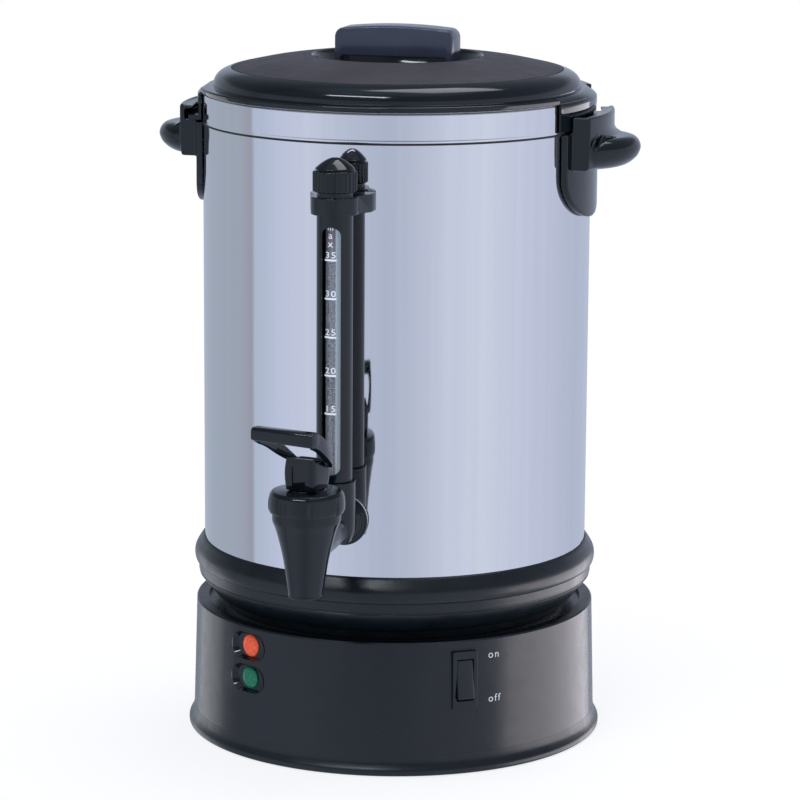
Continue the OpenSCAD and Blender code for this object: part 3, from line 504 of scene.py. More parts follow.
def turned(profile, place=Matrix(), steps=160):
    """A closed profile of (radius, height) spun round Z; a point on the axis becomes a pole."""
    verts, rings, faces = [], [], []
    for r, z in profile:
        count = 1 if r < 1e-6 else steps
        rings.append([len(verts) + i for i in range(count)])
        verts += [(r * math.cos(math.tau * i / steps), r * math.sin(math.tau * i / steps), z)
                  for i in range(count)]
    for low, high in zip(rings, rings[1:] + rings[:1]):
        if len(low) == len(high) == 1:
            continue
        for i in range(steps):
            j = (i + 1) % steps
            corners = [low[i % len(low)], low[j % len(low)], high[j % len(high)],
                       high[i % len(high)]]
            faces.append(list(dict.fromkeys(corners)))
    return solid(verts, faces, place)


def loft(rings, place=Matrix()):
    """A closed skin through rings that have the same number of points."""
    n = len(rings[0])
    last = n * (len(rings) - 1)
    faces = [list(range(n)), list(range(last, last + n))]
    for start in range(0, last, n):
        faces += [[start + i, start + (i + 1) % n, start + n + (i + 1) % n, start + n + i]
                  for i in range(n)]
    return solid([point for ring in rings for point in ring], faces, place)


def block(outline, low, high, place=Matrix()):
    """A flat outline given a thickness along Z."""
    return loft([[(x, y, z) for x, y in outline] for z in (low, high)], place)


def oblong(half_x, half_y):
    return [(-half_x, -half_y), (half_x, -half_y), (half_x, half_y), (-half_x, half_y)]


def brick(x, y, z, place=Matrix()):
    return block([(x[0], y[0]), (x[1], y[0]), (x[1], y[1]), (x[0], y[1])], z[0], z[1], place)


def rod(radius, low, high, place=Matrix(), steps=64):
    return turned([(0, low), (radius, low), (radius, high), (0, high)], place, steps)


def shift(x, y, z):
    return Matrix.Translation((x, y, z))


def spin(degrees, axis="Z"):
    return Matrix.Rotation(math.radians(degrees), 4, axis)


def wall(azimuth, height):
    """On the wall at an azimuth: X runs to the right, Y up and Z outwards."""
    return spin(azimuth) @ shift(0, 0, height) @ spin(90, "X")


def move(obj, place):
    """Moves a finished mesh by a place that is given in millimetres."""
    obj.data.transform(shift(*(place.translation * MM)) @ place.to_3x3().to_4x4())
    return obj


def settle(obj):
    """Turns the object with its modifiers into a plain mesh."""
    plain = bpy.data.meshes.new_from_object(
        obj.evaluated_get(bpy.context.evaluated_depsgraph_get()))
    obj.modifiers.clear()
    old, obj.data = obj.data, plain
    bpy.data.meshes.remove(old)
    return obj


def combine(obj, *others, how="UNION"):
    """Joins the others to the object, or cuts them out of it, or keeps what they share."""
    for other in others:
        cut = obj.modifiers.new("cut", "BOOLEAN")
        cut.operation, cut.solver, cut.object = how, "MANIFOLD", other
        settle(obj)
        bpy.data.objects.remove(other)
    return obj


def carve(obj, *others):
    return combine(obj, *others, how="DIFFERENCE")


def common(obj, *others):
    return combine(obj, *others, how="INTERSECT")


def gather(obj, *others):
    """Puts several closed shells into one object without cutting them."""
    bm = bmesh.new()
    for one in (obj, *others):
        bm.from_mesh(one.data)
    bm.to_mesh(obj.data)
    bm.free()
    for other in others:
        bpy.data.objects.remove(other)
    return obj


def round_edges(obj, width, segments=3, angle=40):
    bevel = obj.modifiers.new("edges", "BEVEL")
    bevel.width, bevel.segments = width * MM, segments
    bevel.limit_method, bevel.angle_limit = "ANGLE", math.radians(angle)
    bevel.use_clamp_overlap = True
    return settle(obj)


def mould(obj, voxel, rounds):
    """One skin round everything, with its corners eased."""
    skin = obj.modifiers.new("skin", "REMESH")
    skin.mode, skin.voxel_size = "VOXEL", voxel * MM
    ease = obj.modifiers.new("ease", "SMOOTH")
    ease.factor, ease.iterations = 0.5, rounds
    return settle(obj)


def piece(obj, name, finish, body="root", replaces=(), sharp=38):
    """Names the piece, shades it, gives it its finish and hangs it on its CAD body."""
    obj.name = obj.data.name = name
    obj.data.materials.clear()
    obj.data.materials.append(finish)
    for face in obj.data.polygons:
        face.material_index = 0
        face.use_smooth = True
    obj.data.set_sharp_from_angle(angle=math.radians(sharp))
    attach(obj, body)
    if replaces:
        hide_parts(*replaces)
    print(name, len(obj.data.polygons), "faces")
    return obj


print("tools for shapes ready")

# %% [markdown]
# ## A tree that repeats
# Ribs round a knob, flutes round a bonnet and marks up a gauge are one shape set out many times.
# One Geometry Nodes tree does all of them: it lays copies of its own mesh at equal turns round an
# axis and at equal steps along it. An Array modifier could do either, but not with a named count
# and step that a reader can change later.

# %% A tree that repeats


def repeating_tree():
    tree = bpy.data.node_groups.new("Repeat", "GeometryNodeTree")
    for label, kind in (("Geometry", "Geometry"), ("Count", "Int"), ("Turn", "Float"),
                        ("Rise", "Float"), ("Finish", "Material")):
        tree.interface.new_socket(label, in_out="INPUT", socket_type="NodeSocket" + kind)
    tree.interface.new_socket("Geometry", in_out="OUTPUT", socket_type="NodeSocketGeometry")
    given = new_node(tree, "NodeGroupInput")
    number = new_node(tree, "GeometryNodeInputIndex")
    spots = {}
    for label in ("Turn", "Rise"):
        times = new_node(tree, "ShaderNodeMath", {0: number.outputs[0], 1: given.outputs[label]},
                         operation="MULTIPLY")
        spots[label] = new_node(tree, "ShaderNodeCombineXYZ", {"Z": times.outputs[0]}).outputs[0]
    points = new_node(tree, "GeometryNodePoints", {
        "Count": given.outputs["Count"], "Position": spots["Rise"]})
    copies = new_node(tree, "GeometryNodeInstanceOnPoints", {
        "Points": points.outputs[0], "Instance": given.outputs["Geometry"],
        "Rotation": spots["Turn"]})
    real = new_node(tree, "GeometryNodeRealizeInstances", {0: copies.outputs[0]})
    paint = new_node(tree, "GeometryNodeSetMaterial", {
        "Geometry": real.outputs[0], "Material": given.outputs["Finish"]})
    new_node(tree, "NodeGroupOutput", {"Geometry": paint.outputs[0]})
    return tree


REPEAT = repeating_tree()
INPUT = {item.name: item.identifier for item in REPEAT.interface.items_tree
         if item.in_out == "INPUT"}


def repeat(obj, count, turn=0.0, rise=0.0, finish=None, place=Matrix()):
    copies = obj.modifiers.new("copies", "NODES")
    copies.node_group = REPEAT
    copies[INPUT["Count"]] = count
    copies[INPUT["Turn"]] = math.radians(turn)
    copies[INPUT["Rise"]] = rise * MM
    copies[INPUT["Finish"]] = finish
    return move(settle(obj), place)


print("inputs", list(INPUT))

# %% [markdown]
# ## Foot ring and neck collar
# The foot ring is a rounded bead that sweeps up against the skirt in a hollow curve. The collar
# that carries the tank is a swelling rim with a fine groove under it and a cone below. Both are
# turned: each profile is drawn once, its corners are softened, and it is spun round the axis.

# %% Foot ring and neck collar
SKIRT_LOW, SKIRT_HIGH = (116.6, 6.0), (114.6, 75.0)


def skirt_r(z):
    return SKIRT_LOW[0] + (SKIRT_HIGH[0] - SKIRT_LOW[0]) * (z - SKIRT_LOW[1]) / (
        SKIRT_HIGH[1] - SKIRT_LOW[1])


foot = curve_through([(118.6, 0.0), (119.4, 0.7), (119.55, 2.0), (119.3, 3.3), (118.3, 4.9),
                      (117.4, 6.6), (116.85, 8.6), (116.5, 11.0)])
piece(turned([(112.4, 0)] + foot + [(116.4, 10.6), (116.52, 6), (109, 6), (109, 3), (112.4, 3)]),
      "foot_ring_bead", satin_black, replaces=["foot_ring"])

collar = curve_through([(110.5, 111.0), (111.4, 110.2), (112.7, 108.3), (114.3, 105.8),
                        (115.3, 103.8), (115.7, 101.9), (115.65, 99.9), (115.15, 97.9),
                        (114.2, 96.8)])
collar += [(113.5, 96.5), (113.4, 91.5, 0.3), (112.6, 91.1, 0.1), (112.6, 90.5, 0.1),
           (113.1, 90.0, 0.4), (104.3, 79, 1.5), (98, 77.4, 0.5), (98, 73), (87, 73), (87, 78),
           (105.5, 92), (110.1, 92), (110.1, 111.1)]
piece(turned(soften(collar, 0.25, 3), steps=200), "neck_collar_moulding", satin_black,
      replaces=["neck_collar"])

# %% [markdown]
# ## Rim band
# A rolled steel band closes the tank's top. Its lower edge is turned under, and a thin black ring
# just below it is painted shade: it stands for the shadow beneath the rolled edge and reads as a
# dark line round the tank. Steel and black ring are two turned pieces.

# %% Rim band
band = [(110.06, 351.3, 0.1), (110.4, 351.0, 0.2), (110.9, 351.1, 0.3), (110.95, 351.9, 0.3),
        (110.7, 352.8, 0.3), (110.7, 366.0, 0.5), (110.3, 366.9, 0.4), (108.4, 366.9, 0.3),
        (108.1, 366.5), (108.1, 359), (109, 359), (109, 366.3), (110.06, 366.3)]
piece(turned(soften(band, 0.1), steps=256), "rim_band_steel", mirror_steel,
      replaces=["rim_band"])
# a thin black ring under the band: painted shade for the shadow beneath the rolled edge
piece(turned(soften([(110.02, 349.8), (110.6, 349.95), (110.6, 351.2), (110.02, 351.4)], 0.2),
             steps=256), "rim_seal", rubber_black)

# %% [markdown]
# ## Side handles
# Each handle is one moulding: a tongue that hugs the tank, a block with the channel that the
# lid's lug turns into, and a half-round ear to lift by. The tongue is cut from a ring so that it
# follows the wall exactly. The solids are joined, the two pockets beside the block are taken out,
# and the remesh melts them into one skin.

# %% Side handles
TONGUE_HALF, TONGUE_TOP, TONGUE_MID, TONGUE_LOW = 39, 350.6, 326, 301
BLOCK_HALF, EAR_AT, EAR_STRETCH = 33.8, 109, 1.09
ALL_ROUND = 240


def ring_part(profile, y):
    """The part of a turned ring that lies on the handle's side, between two values of Y."""
    return common(turned(soften(profile, 0.3), steps=ALL_ROUND), brick((90, 140), y, (290, 380)))


def pebble(centre, along, sizes):
    """A round shape stretched along a direction."""
    turn = Vector(along).to_track_quat("X", "Z").to_matrix().to_4x4()
    return turned(arc(0, 0, 1, -1, range(0, 181, 10)),
                  shift(*centre) @ turn @ Matrix.Diagonal((*sizes, 1)), steps=32)


def handle_moulding(name, node, azimuth):
    outline = [(TONGUE_HALF, TONGUE_TOP), (-TONGUE_HALF, TONGUE_TOP)]
    outline += arc(0, TONGUE_MID, TONGUE_HALF, TONGUE_MID - TONGUE_LOW, range(-90, -271, -5))
    tongue = turned([(110.3, 295), (113.9, 295), (113.9, TONGUE_TOP), (110.3, TONGUE_TOP)],
                    steps=ALL_ROUND)
    common(tongue, block(outline, 60, 150, spin(90) @ spin(90, "X")))
    round_edges(tongue, 1.3, 2, 50)
    body = ring_part([(112.6, 330.5), (122.4, 330.5, 1.4), (123.2, 340, 6), (123.2, 358.6, 1),
                      (122.5, 359.8, 0.7), (121, 359.8, 0.5), (120.4, 359.2, 0.5),
                      (120.4, 351.4, 0.6), (112.6, 351.4)], (-BLOCK_HALF, BLOCK_HALF))
    stop = ring_part([(113.6, 350), (121.4, 350), (121.4, 359.7), (113.6, 359.7)],
                     (-BLOCK_HALF, -BLOCK_HALF + 3.6))
    rib = ring_part([(115.6, 357.4), (120.8, 357), (120.8, 359.1), (115.6, 358.9)],
                    (-BLOCK_HALF + 3, BLOCK_HALF))
    fillet = ring_part([(122.6, 345.5), (126.4, 346.2, 0.1), (126.4, 347, 0.1), (124.7, 347.7),
                        (123.6, 349), (123.1, 351)], (-25, 25))
    ear = turned([(0, 328.5)] + curve_through([
        (15, 328.9), (20, 329.9), (24, 331.3), (27.2, 333.5), (29.5, 336), (30.7, 338.8),
        (31, 340.4), (30.6, 342.4), (29.4, 344.6), (27.4, 346.2), (24.4, 347)]) + [(0, 347)],
        shift(EAR_AT, 0, 0) @ Matrix.Diagonal((1, EAR_STRETCH, 1, 1)))
    carve(ear, brick((60, 114.5), (-40, 40), (320, 360)))
    combine(tongue, body, stop, rib, ear, fillet)
    for centre, along, sizes in (((122.6, -23.5, 345.8), (2.6, 13.6, 6.1), (8.6, 1.9, 2.9)),
                                 ((125.8, -15.5, 345.4), (3, 16, 3), (8.2, 1.7, 2.9))):
        carve(tongue, pebble(centre, along, sizes))
    mould(tongue, 0.6, 3)
    tongue.data.transform(spin(azimuth - 90))
    return piece(tongue, name, gloss_black, replaces=[node], sharp=70)


handle_moulding("handle_left_moulding", "handle_left", -90)
handle_moulding("handle_right_moulding", "handle_right", 90)

# %% [markdown]
# ## Lid
# The lid is a glossy ring with a rounded shoulder, a grained insert that slopes down to it, and a
# glossy finger bowl in the middle. All three are turned. Two lugs under the ring's edge catch the
# handles' channels, and a bridge handle spans the bowl.

# %% Lid ring, insert and bowl
LUG_HALF, FOOT_START = 22.5, -14.6


def sector(start, end, reach=140):
    """A wedge between two angles, to keep one part of a turned ring."""
    return block([(0, 0)] + [(reach, reach * math.tan(math.radians(a))) for a in (start, end)],
                 345, 385)


shoulder = curve_through([(104.2, 371), (104.1, 372.4), (103.7, 374), (102.8, 375.8),
                          (101.4, 377.5), (99.4, 378.9), (97.0, 380.0), (94.4, 380.85)])
lid_ring = turned(soften([(103.7, 358), (105.7, 358), (105.7, 367.5), (111.6, 367.5, 0.5),
                          (111.8, 370.0, 0.6), (111.2, 370.6, 0.5), (104.5, 370.6, 0.3)]
                         + shoulder + [(94.0, 380.85), (94.0, 378.85), (89, 379.9),
                                       (89, 378.2), (94, 376.9), (98.3, 375.6), (100.8, 373.4),
                                       (101.6, 371.4), (101.6, 368), (103.7, 366)], 0.2, 3),
                  steps=256)
slope_side = [(107.2, 371.05), (114, 366.5), (114, 371.05)]
web_side = soften([(108, 367.52), (110.4, 367.5), (111.4, 366.6), (111.4, 352.2),
                   (112.8, 352.2, 0.2), (112.8, 362, 0.1), (113.0, 362.4, 0.2),
                   (113.0, 366.6, 0.7), (112.2, 367.55, 0.5), (110, 369.1), (108, 370)], 0.3, 3)
foot_side = soften([(111.8, 352.2), (118.6, 352.2), (118.6, 355), (111.8, 355)], 0.5, 3)
for half in (0, 180):
    slope, web, foot_plate = (
        common(turned(side, steps=256), sector(start, LUG_HALF))
        for side, start in ((slope_side, -LUG_HALF), (web_side, -LUG_HALF),
                            (foot_side, FOOT_START)))
    for part in (slope, web, foot_plate):
        part.data.transform(spin(half))
    carve(lid_ring, slope)
    combine(lid_ring, web, foot_plate)
piece(lid_ring, "lid_ring_moulding", gloss_black, "lid", ["lid_ring"])

insert = curve_through([(49.1, 388.25), (55, 387.65), (62, 386.9), (74, 385.2), (84, 383.2),
                        (92.6, 381.3), (93.3, 381.05)])
piece(turned(insert + [(93.7, 380.6), (93.7, 379.1), (84, 381.3), (74, 383.3), (62, 385.0),
                       (49.1, 386.35)], steps=200),
      "lid_insert", matte_black, "lid", ["lid_dome"])

bowl = curve_through([(36, 375), (40, 375.4), (43, 377.0), (45, 380.2), (46.4, 384.2),
                      (47.3, 386.8), (48.1, 388.0), (48.8, 388.3)])
piece(turned([(0, 375)] + bowl + [(49.0, 387.6), (48.95, 386.25), (54, 385.85), (54, 384.4),
                                  (48.6, 384.8), (46.6, 379), (43.4, 374.4), (39, 373), (0, 373)],
             steps=160), "lid_bowl_moulding", gloss_black, "lid", ["lid_bowl"])

# %% [markdown]
# ## Lid handle
# The bridge has a crowned top, square shoulders and two short legs that stand in the bowl. Its
# side view is an outline given the handle's depth, and a wide bevel makes the bright line along
# the top edge.

# %% Lid handle
HALF, END_TOP, CROWN, CORNER, HALF_DEPTH = 34.2, 403.4, 1.5, 5.2, 10.5
top_line = [(t / 10 * (HALF - CORNER), END_TOP + CROWN * (1 - (t / 10) ** 2))
            for t in range(-10, 11)]
right_side = arc(HALF - CORNER, END_TOP - CORNER, CORNER, CORNER, range(15, 91, 15))
right_side += [(HALF, 375), (HALF - 12.5, 375), (HALF - 11.5, 379), (HALF - 3.4, 379),
               (HALF - 3.4, 386.2), (HALF - 5.0, 387.6)]
bridge = top_line + right_side + [(-x, z) for x, z in reversed(right_side)]
handle = block(bridge, -HALF_DEPTH, HALF_DEPTH, spin(90, "X"))
round_edges(handle, 1.4, 4, 50)
piece(handle, "lid_handle_bridge", lid_handle_black, "lid", ["lid_handle"],
      sharp=60)

# %% [markdown]
# ## Tap body, bonnet and shank
# The body narrows to the outlet and is turned from one profile, with a round lip at the bottom.
# The bonnet screws onto it by hand, so it has eight flutes. One flute is a round-topped peg; the
# repeating tree sets out eight of them, and they are cut from the turned bonnet. The shank runs
# back through the tank's wall, and its upright socket carries the gauge.

# %% Tap body and bonnet
TAP_OUT, GAUGE_OUT, SHANK_Z = 186, 130, 143.2
TAP, GAUGE = shift(0, -TAP_OUT, 0), shift(0, -GAUGE_OUT, 0)
SHANK = shift(0, 0, SHANK_Z) @ spin(90, "X")  # its Z runs from the tank's middle to the tap
LEAN, OUTLET_Z = 0.0104, 0.097


def lean(obj):
    """Tilts a tap piece a trace to the right, about the outlet, as a tap that is screwed in."""
    for vert in obj.data.vertices:
        vert.co.x += LEAN * (vert.co.z - OUTLET_Z)
    return obj


flare = curve_through([(9.25, 119.9), (9.7, 123.0), (10.8, 130.5), (11.9, 137.5), (13.4, 144.5),
                       (15.4, 152.0), (16.5, 155.6), (17.4, 157.9), (18.1, 159.6),
                       (18.3, 161.0)])
body = turned(soften([(0, 118.6), (7.2, 118.6), (7.6, 118, 0.3), (8.9, 118, 0.7),
                      (9.5, 118.9, 0.6), (9.35, 119.6, 0.3)] + flare
                     + [(18.35, 164.6), (0, 164.6)], 0.05), TAP, 128)
combine(body, rod(9.2, TAP_OUT, 150, SHANK, 96))
piece(lean(body), "tap_body_moulding", gloss_black, replaces=["tap_body"],
      sharp=45)

bonnet = turned(soften([(0, 164.5), (18.6, 164.5), (19.6, 164.5, 0.5), (20.3, 166.3, 0.8),
                        (20.4, 169.0, 2), (20.1, 172.4, 1.5), (19.6, 174.5, 0.5),
                        (18.3, 176.1, 0.5), (10.0, 176.4, 0.4), (9.6, 177.0, 0.3),
                        (0, 177.0)], 0.3), TAP, 192)
peg = [(0, 162), (2.7, 162)] + arc(0, 171.4, 2.7, 3.4, range(90, 0, -15)) + [(0, 174.8)]
flutes = turned(peg, shift(22.2, 0, 0), 48)
flutes.data.transform(spin(22.5))
repeat(flutes, 8, turn=45, place=TAP)
carve(bonnet, flutes)
round_edges(bonnet, 0.3, 2, 30)
piece(lean(bonnet), "tap_bonnet_moulding", gloss_black, replaces=["tap_bonnet"],
      sharp=35)

# %% Shank, its wall flange and the gauge's socket
shank = turned(soften([(0, 100), (8, 100), (8, 110.6), (12.6, 110.6), (13.9, 111.6, 0.4),
                       (14, 113.0, 0.5), (13.2, 113.5, 0.2), (12.7, 113.5, 0.2),
                       (12.4, 114.3, 0.4), (11.6, 114.7, 0.3), (11.2, 114.7, 0.2),
                       (10.9, 115.4, 0.4), (10.2, 115.8, 0.3), (9.2, 116.6, 1.2),
                       (9.2, 149.9, 0.4), (0, 149.9)], 0.2), SHANK, 128)
socket = turned(soften([(0, 136), (9.4, 136), (11.2, 141, 1.2), (11.5, 146, 2), (11.5, 168.7, 0.3),
                        (11.7, 168.9, 0.2), (11.7, 169.4, 0.2), (11.2, 169.6, 0.2),
                        (0, 169.6)], 0.2), GAUGE, 128)
combine(shank, socket)
carve(shank, rod(8.2, 160, 175, GAUGE))
piece(shank, "tap_shank_moulding", gloss_black, replaces=["tap_shank"],
      sharp=45)

# %% [markdown]
# ## Tap lever
# The lever is a loop: a front bar that a thumb pushes, and two arms that bend down into a hub on
# the tap's stem. The arms are strips through measured stations, each a small rectangle across the
# arm. The bar and the hub are bevelled blocks, and the hub's sides swell a little.

# %% Tap lever
AT_PIN = shift(0, -TAP_OUT, 186.5) @ spin(-13)
ARM = [(-25, 15.4, 18.2, 18.8, 26.6), (-18, 14.9, 17.6, 16.0, 24.4), (-10, 13.9, 16.8, 11.4, 20.0),
       (-3.5, 12, 15.6, 7.4, 15.4), (1, 10.2, 14.4, 5.0, 12.4), (3.5, 8.8, 13.2, 3.2, 10),
       (5.3, 7.6, 12.2, 2.2, 7.8), (6, 7, 11.5, 2.2, 6)]


def strip(stations):
    """A bar lofted through stations: y, inner x, outer x, z from, z to. It slants inward."""
    rings = []
    for y, x0, x1, z0, z1 in stations:
        low, high = z0 - 0.15 * (z1 - z0), z1 - 0.56 * (z1 - z0)
        rings.append([(x0, y, low), (x1, y, z0), (x1, y, z1), (x0, y, high)])
    return loft(rings)


def swell(obj, amount, low, high):
    """Makes the sides bulge between two heights."""
    for vert in obj.data.vertices:
        t = (vert.co.z / MM - low) / (high - low)
        if 0 < t < 1:
            grow = 1 + amount * math.sin(math.pi * t)
            vert.co.x *= grow
            vert.co.y *= grow
    return obj


bar_side = soften([(-28.9, 18.6), (-20.5, 18.6), (-20.5, 26.6), (-28.9, 26.6)], 2.7, 6)
bar = block([(-z, y) for y, z in bar_side], -17.9, 18.5, spin(90, "Y"))
for vert in bar.data.vertices:
    if vert.co.x < 0:  # the left end is a little slimmer
        vert.co.z = 0.0267 - (0.0266 - vert.co.z) * 0.9
round_edges(bar, 0.5, 2, 60)
arms = []
for hand in (1, -1):
    stations = [Vector((y, hand * a, hand * b, c, d)) for y, a, b, c, d in ARM]
    arms.append(round_edges(strip(curve_through(stations, 3)), 0.9, 3, 40))
hub_round = soften(oblong(8.7, 8.7), 3.0, 4)
hub = loft([[(x, y, z) for x, y in hub_round]
            for z in (-9.2, -8.4, -6.5, -3.5, -0.5, 2.5, 5.5, 7.4, 8.2)])
swell(hub, 0.09, -9.2, 8.2)
for vert in hub.data.vertices:
    if vert.co.z > 0.007:  # the top slopes down to the back
        vert.co.z -= 0.21 * (vert.co.y + 0.0087)
carve(hub, brick((-3.9, 3.9), (-14, -8.5), (-12, 3.6)))
round_edges(hub, 0.6, 3, 45)
lever = move(gather(hub, bar, *arms), AT_PIN)
piece(lean(lever), "tap_lever_moulding", gloss_black, "lever", ["tap_lever"],
      sharp=42)

# %% [markdown]
# ## Gauge
# The gauge is a black tube with a window, a glass tube inside it and printed marks. The core
# stands for the glass's inside. It is grey and grainy on the left, and on the right the finish
# paints a bright strip across its width: a painted reflection of the room in the glass. The core
# and the printed marks also glow faintly, a painted glow. The marks are one short bar that the
# repeating tree sets out up the glass, and the numbers are text made into a mesh and bent round
# it.

# %% Gauge shield
shield = turned(soften([(8.2, 169.6), (9.8, 169.6), (9.8, 324.6), (8.2, 324.6)], 0.3), GAUGE, 128)
window = arc(0.3, 304.6, 5.3, 4.4, range(-90, 91, 15))
window += arc(0.3, 178.5, 5.3, 4.5, range(90, 271, 15))
carve(shield, block(window, 134, 144, spin(90, "X")))
round_edges(shield, 0.35, 2, 45)
piece(shield, "gauge_shield_tube", gloss_black, replaces=["gauge_shield"],
      sharp=45)

# %% Gauge core
# where the painted reflection of the room in the glass begins on the core
REFLECTION_FROM = 1.5 * MM  # right of the tube's middle
core, shader = new_finish("gauge_core", (0.30, 0.29, 0.31), 0.35)
across = new_node(core.node_tree, "ShaderNodeSeparateXYZ", {0: place_on_piece(core)})
reflection_side = spread(core, across.outputs["X"], 0, 1, REFLECTION_FROM, REFLECTION_FROM + 0.5 * MM)
upper = spread(core, across.outputs["Z"], 0, 1, 0.285, 0.315)
grains = spread(core, noise(core, 1500, 3), 0, 1, 0.35, 0.65)
grainy = tint(core, grains, (0.06, 0.07, 0.09), (0.62, 0.64, 0.70))
grainy = tint(core, upper, grainy, (0.16, 0.10, 0.13))
# the bright strip on the right is a painted reflection of the room in the glass
bright = tint(core, noise(core, 700, 2), (0.66, 0.80, 0.90), (0.88, 0.97, 1.0))
core_colour_and_painted_light = tint(core, reflection_side, grainy, bright)
wire(core_colour_and_painted_light, shader.inputs["Base Color"])
# the whole core glows faintly: a painted glow that brightens it inside the shield
wire(core_colour_and_painted_light, shader.inputs["Emission Color"])
shader.inputs["Emission Strength"].default_value = 0.25
wire(spread(core, noise(core, 300, 2), 0.25, 0.45), shader.inputs["Roughness"])
wire(relief(core, noise(core, 1500, 2), 0.01), shader.inputs["Normal"])
piece(rod(4.75, 170, 309.4, GAUGE, 64), "gauge_core", core)

# %% Marks and numbers


def bend(obj, centre, radius, azimuth):
    """Wraps a flat mesh round an upright axis: X goes round, Y becomes the height."""
    for vert in obj.data.vertices:
        x, y, z = vert.co / MM
        reach = (radius(y) if callable(radius) else radius) + z
        angle = math.radians(azimuth) + x / reach
        vert.co = Vector((centre[0] + reach * math.sin(angle), centre[1] - reach * math.cos(angle),
                          y)) * MM
    return obj


def lettering(words, height, low, align="CENTER", wide=1.0, bold=0.0, thick=0.12):
    """Generic letters as a mesh: their height and the height of their foot are in millimetres."""
    font = bpy.data.curves.new("letters", "FONT")
    font.body, font.align_x, font.extrude = words, align, 0.5
    font.space_character, font.offset = 1.25, bold
    shape = bpy.data.objects.new("letters", font)
    scene.collection.objects.link(shape)
    plain = bpy.data.meshes.new_from_object(
        shape.evaluated_get(bpy.context.evaluated_depsgraph_get()))
    bpy.data.objects.remove(shape)
    ys = [vert.co.y for vert in plain.vertices]
    scale = height / (max(ys) - min(ys))
    for vert in plain.vertices:
        vert.co = Vector((vert.co.x * scale * wide, (vert.co.y - min(ys)) * scale + low,
                          thick * (1 + vert.co.z))) * MM
    flat = bpy.data.objects.new("letters", plain)
    scene.collection.objects.link(flat)
    return flat


GLASS_R, FIRST_MARK, MARK_STEP = 6.03, 207.15, 20.93
steps = [-3.6 + 0.6 * i for i in range(13)]
tick = block([(x, FIRST_MARK - 0.5) for x in steps]
             + [(x, FIRST_MARK + 0.5) for x in reversed(steps)], 0.04, 0.2)
bend(tick, (0, 0), GLASS_R, -9)
repeat(tick, 5, rise=MARK_STEP, finish=glass_print, place=GAUGE)
piece(tick, "gauge_marks", glass_print)

figures = [lettering(str(15 + 5 * i), 3.4, FIRST_MARK + MARK_STEP * i + 1.1, wide=1.2, bold=0.008)
           for i in range(5)]
figures += [lettering("m", 1.9, 307.0, wide=1.1), lettering("a", 2.5, 302.5, wide=1.1),
            lettering("x", 2.6, 297.9, wide=1.1)]
numbers = gather(*figures)
bend(numbers, (0, -GAUGE_OUT), GLASS_R, -7)
piece(numbers, "gauge_numbers", glass_print)

# %% Gauge clip
TANK_R = 110.03
clip = turned(soften([(9, 315.2), (13, 315.2, 0.7), (13, 324.8, 0.7), (9, 324.8)], 0.1),
              GAUGE, 128)
combine(clip, block([(-11.5, -127.5), (11.5, -127.5), (17, -118.5), (17, -105), (-17, -105),
                     (-17, -118.5)], 315.2, 324.8))
carve(clip, rod(TANK_R, 300, 330, steps=320))
round_edges(clip, 0.7, 3, 50)
carve(clip, rod(9.83, 300, 330, GAUGE, 128))
piece(clip, "gauge_clip_ring", gloss_black, replaces=["gauge_clip"], sharp=40)

# %% Gauge cap
RIBS = 26
knob = [(0, 316), (7.9, 316), (7.9, 326.05), (9.45, 326.05), (9.45, 324.9), (9.8, 324.9, 0.1),
        (9.6, 327.2, 0.2), (10.9, 327.2, 0.3), (11.45, 327.9, 0.4), (11.45, 338.1, 0.4),
        (10.9, 338.7, 0.3), (9.6, 338.7, 0.2), (9.6, 339.2, 0.2), (10.5, 339.3, 0.3),
        (10.75, 339.7, 0.3)]
knob += curve_through([(10.4, 340.1), (8.9, 341.4), (6.8, 343.0), (4.2, 344.5), (2.2, 345.3),
                       (1.1, 345.5)], 4) + [(0, 345.5)]
cap = turned(soften(knob, 0.05), GAUGE, 156)
rib = turned([(0, 327.5), (0.6, 327.5), (0.85, 328.0)]
             + arc(0, 337.5, 0.85, 0.85, range(90, 20, -22)) + [(0, 338.35)],
             shift(11.15, 0, 0), 12)
repeat(rib, RIBS, turn=360 / RIBS, finish=gloss_black, place=GAUGE)
piece(gather(cap, rib), "gauge_cap_knob", gloss_black, "gauge_knob", ["gauge_cap"],
      sharp=45)

# %% [markdown]
# ## Lamps and switch
# Each lamp sits in a dished oval bezel, let into the skirt and a little proud of it. The dish is
# cut with a tapered plug, and the bezel's front is cut by the skirt's own cone, so that it follows
# the wall. The rocker is its side view given a width, and its frame is a bevelled plate.

# %% Lamps
LAMPS_AZ, PROUD = -31, 0.45
LAMPS = {"heating": (63.5, orange_lens), "warm": (45, green_lens)}


def oval(length, width):
    run = (length - width) / 2
    return [(math.copysign(run, math.cos(math.radians(a))) + width / 2 * math.cos(math.radians(a)),
             width / 2 * math.sin(math.radians(a))) for a in [k * 7.5 - 86.25 for k in range(48)]]


def plug(wide, narrow, low, high, place):
    """A tapered plug between two outlines with the same number of points."""
    return loft([[(x, y, low) for x, y in narrow], [(x, y, high) for x, y in wide]], place)


for label, (height, finish) in LAMPS.items():
    face_r = skirt_r(height)
    at = wall(LAMPS_AZ, height)
    bezel = block(oval(26.7, 15.2), 110.4, 120, at)
    common(bezel, turned([(0, 0), (skirt_r(0) + PROUD, 0), (skirt_r(80) + PROUD, 80), (0, 80)],
                         steps=320))
    carve(bezel, plug(oval(28.0, 16.6), oval(21.5, 12.9), face_r - 2.8, face_r + 2, at),
          rod(6.35, 100, 120, at))
    round_edges(bezel, 0.3, 3, 35)
    piece(bezel, f"{label}_lamp_bezel", gloss_black, sharp=50,
          replaces=["lamp_bezels"] if label == "heating" else ())
    glass = turned(soften([(0, 110.4), (6.3, 110.4), (6.3, face_r - 2.3, 0.5),
                           (5.2, face_r - 1.6, 0.6), (3.4, face_r - 1.1, 1), (0, face_r - 0.9)],
                          0.3), at, 64)
    piece(glass, f"{label}_lamp_dome", finish, replaces=[f"{label}_lamp_lens"],
          sharp=30)

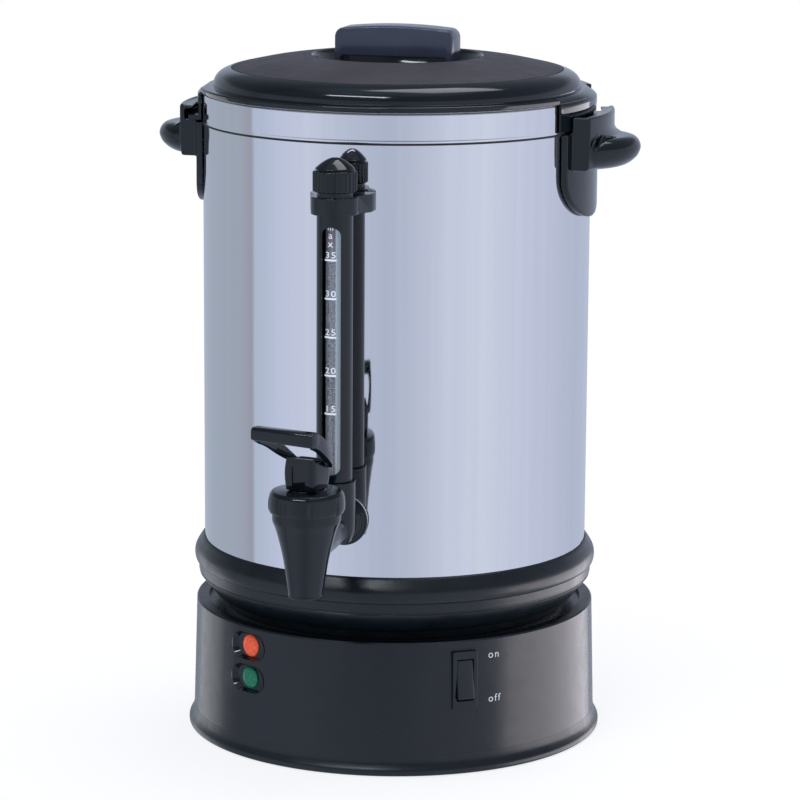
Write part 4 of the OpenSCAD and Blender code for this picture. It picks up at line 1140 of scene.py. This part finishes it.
# %% Switch
AT_SWITCH = wall(34.4, 53)
frame_plate = block(soften(oblong(7.2, 16.4), 0.8, 4), 113, 117.1, AT_SWITCH)
combine(frame_plate, brick((-6.1, 6.1), (-14.5, 14.5), (103, 114), AT_SWITCH))
carve(frame_plate, block(soften(oblong(5.1, 11.9), 0.5, 3), 102, 125, AT_SWITCH))
round_edges(frame_plate, 0.45, 3, 45)
piece(frame_plate, "switch_frame_plate", gloss_black, replaces=["switch_frame"],
      sharp=40)

side_view = soften([(-10.95, 3.15, 1.2), (0, 2.5, 5), (10.95, 3.15, 0.5), (11.3, 0), (10.9, -2),
                    (4, -5), (-4, -5), (-10.9, -2), (-11.3, 0)], 0.4, 5)
SIDEWAYS = Matrix(((0, 0, 1, 0), (1, 0, 0, 0), (0, 1, 0, 0), (0, 0, 0, 1)))
rocker = block(side_view, -4.75, 4.75, AT_SWITCH @ shift(0, 0, 115) @ spin(-9, "X") @ SIDEWAYS)
round_edges(rocker, 0.4, 3, 50)
piece(rocker, "switch_rocker_paddle", satin_black, "rocker", ["switch_rocker"],
      sharp=45)

# %% Switch lettering
words = gather(lettering("on", 2.8, 63.7, "LEFT"), lettering("off", 4.1, 38.7, "LEFT"))
bend(words, (0, 0), skirt_r, 41.7)
piece(words, "switch_lettering", white_print)

# %% [markdown]
# ## Lamps and mirror
# A polished tank would show each lamp as a hard bright shape. A photographer hides them with
# cards; here the lamps are linked so that they leave the polished steel and the glass out. The
# steel then shows only the room's bands. The tap, the gauge and the side handles have small
# round shapes on which the side cards would draw hard stripes; only the cards leave them out.

# %% Lamps and mirror


def leave_out(name, lamps, pieces):
    """Makes these lamps pass by these pieces."""
    held = bpy.data.collections.new(name)
    for one in pieces:
        held.objects.link(one)
    for link in held.collection_objects:
        link.light_linking.link_state = "EXCLUDE"
    for lamp in lamps:
        lamp.light_linking.receiver_collection = held


mirrors = [frame["nodes"]["tank_shell"], bpy.data.objects["rim_band_steel"],
           frame["nodes"]["gauge_glass"]]
narrow = [bpy.data.objects[name] for name in (
    "gauge_shield_tube", "gauge_clip_ring", "gauge_cap_knob", "tap_body_moulding",
    "tap_bonnet_moulding", "tap_shank_moulding", "tap_lever_moulding",
    "handle_left_moulding", "handle_right_moulding")]
leave_out("unlit_by_lamps", lamps[2:], mirrors)
leave_out("unlit_by_cards", lamps[:2], mirrors + narrow)
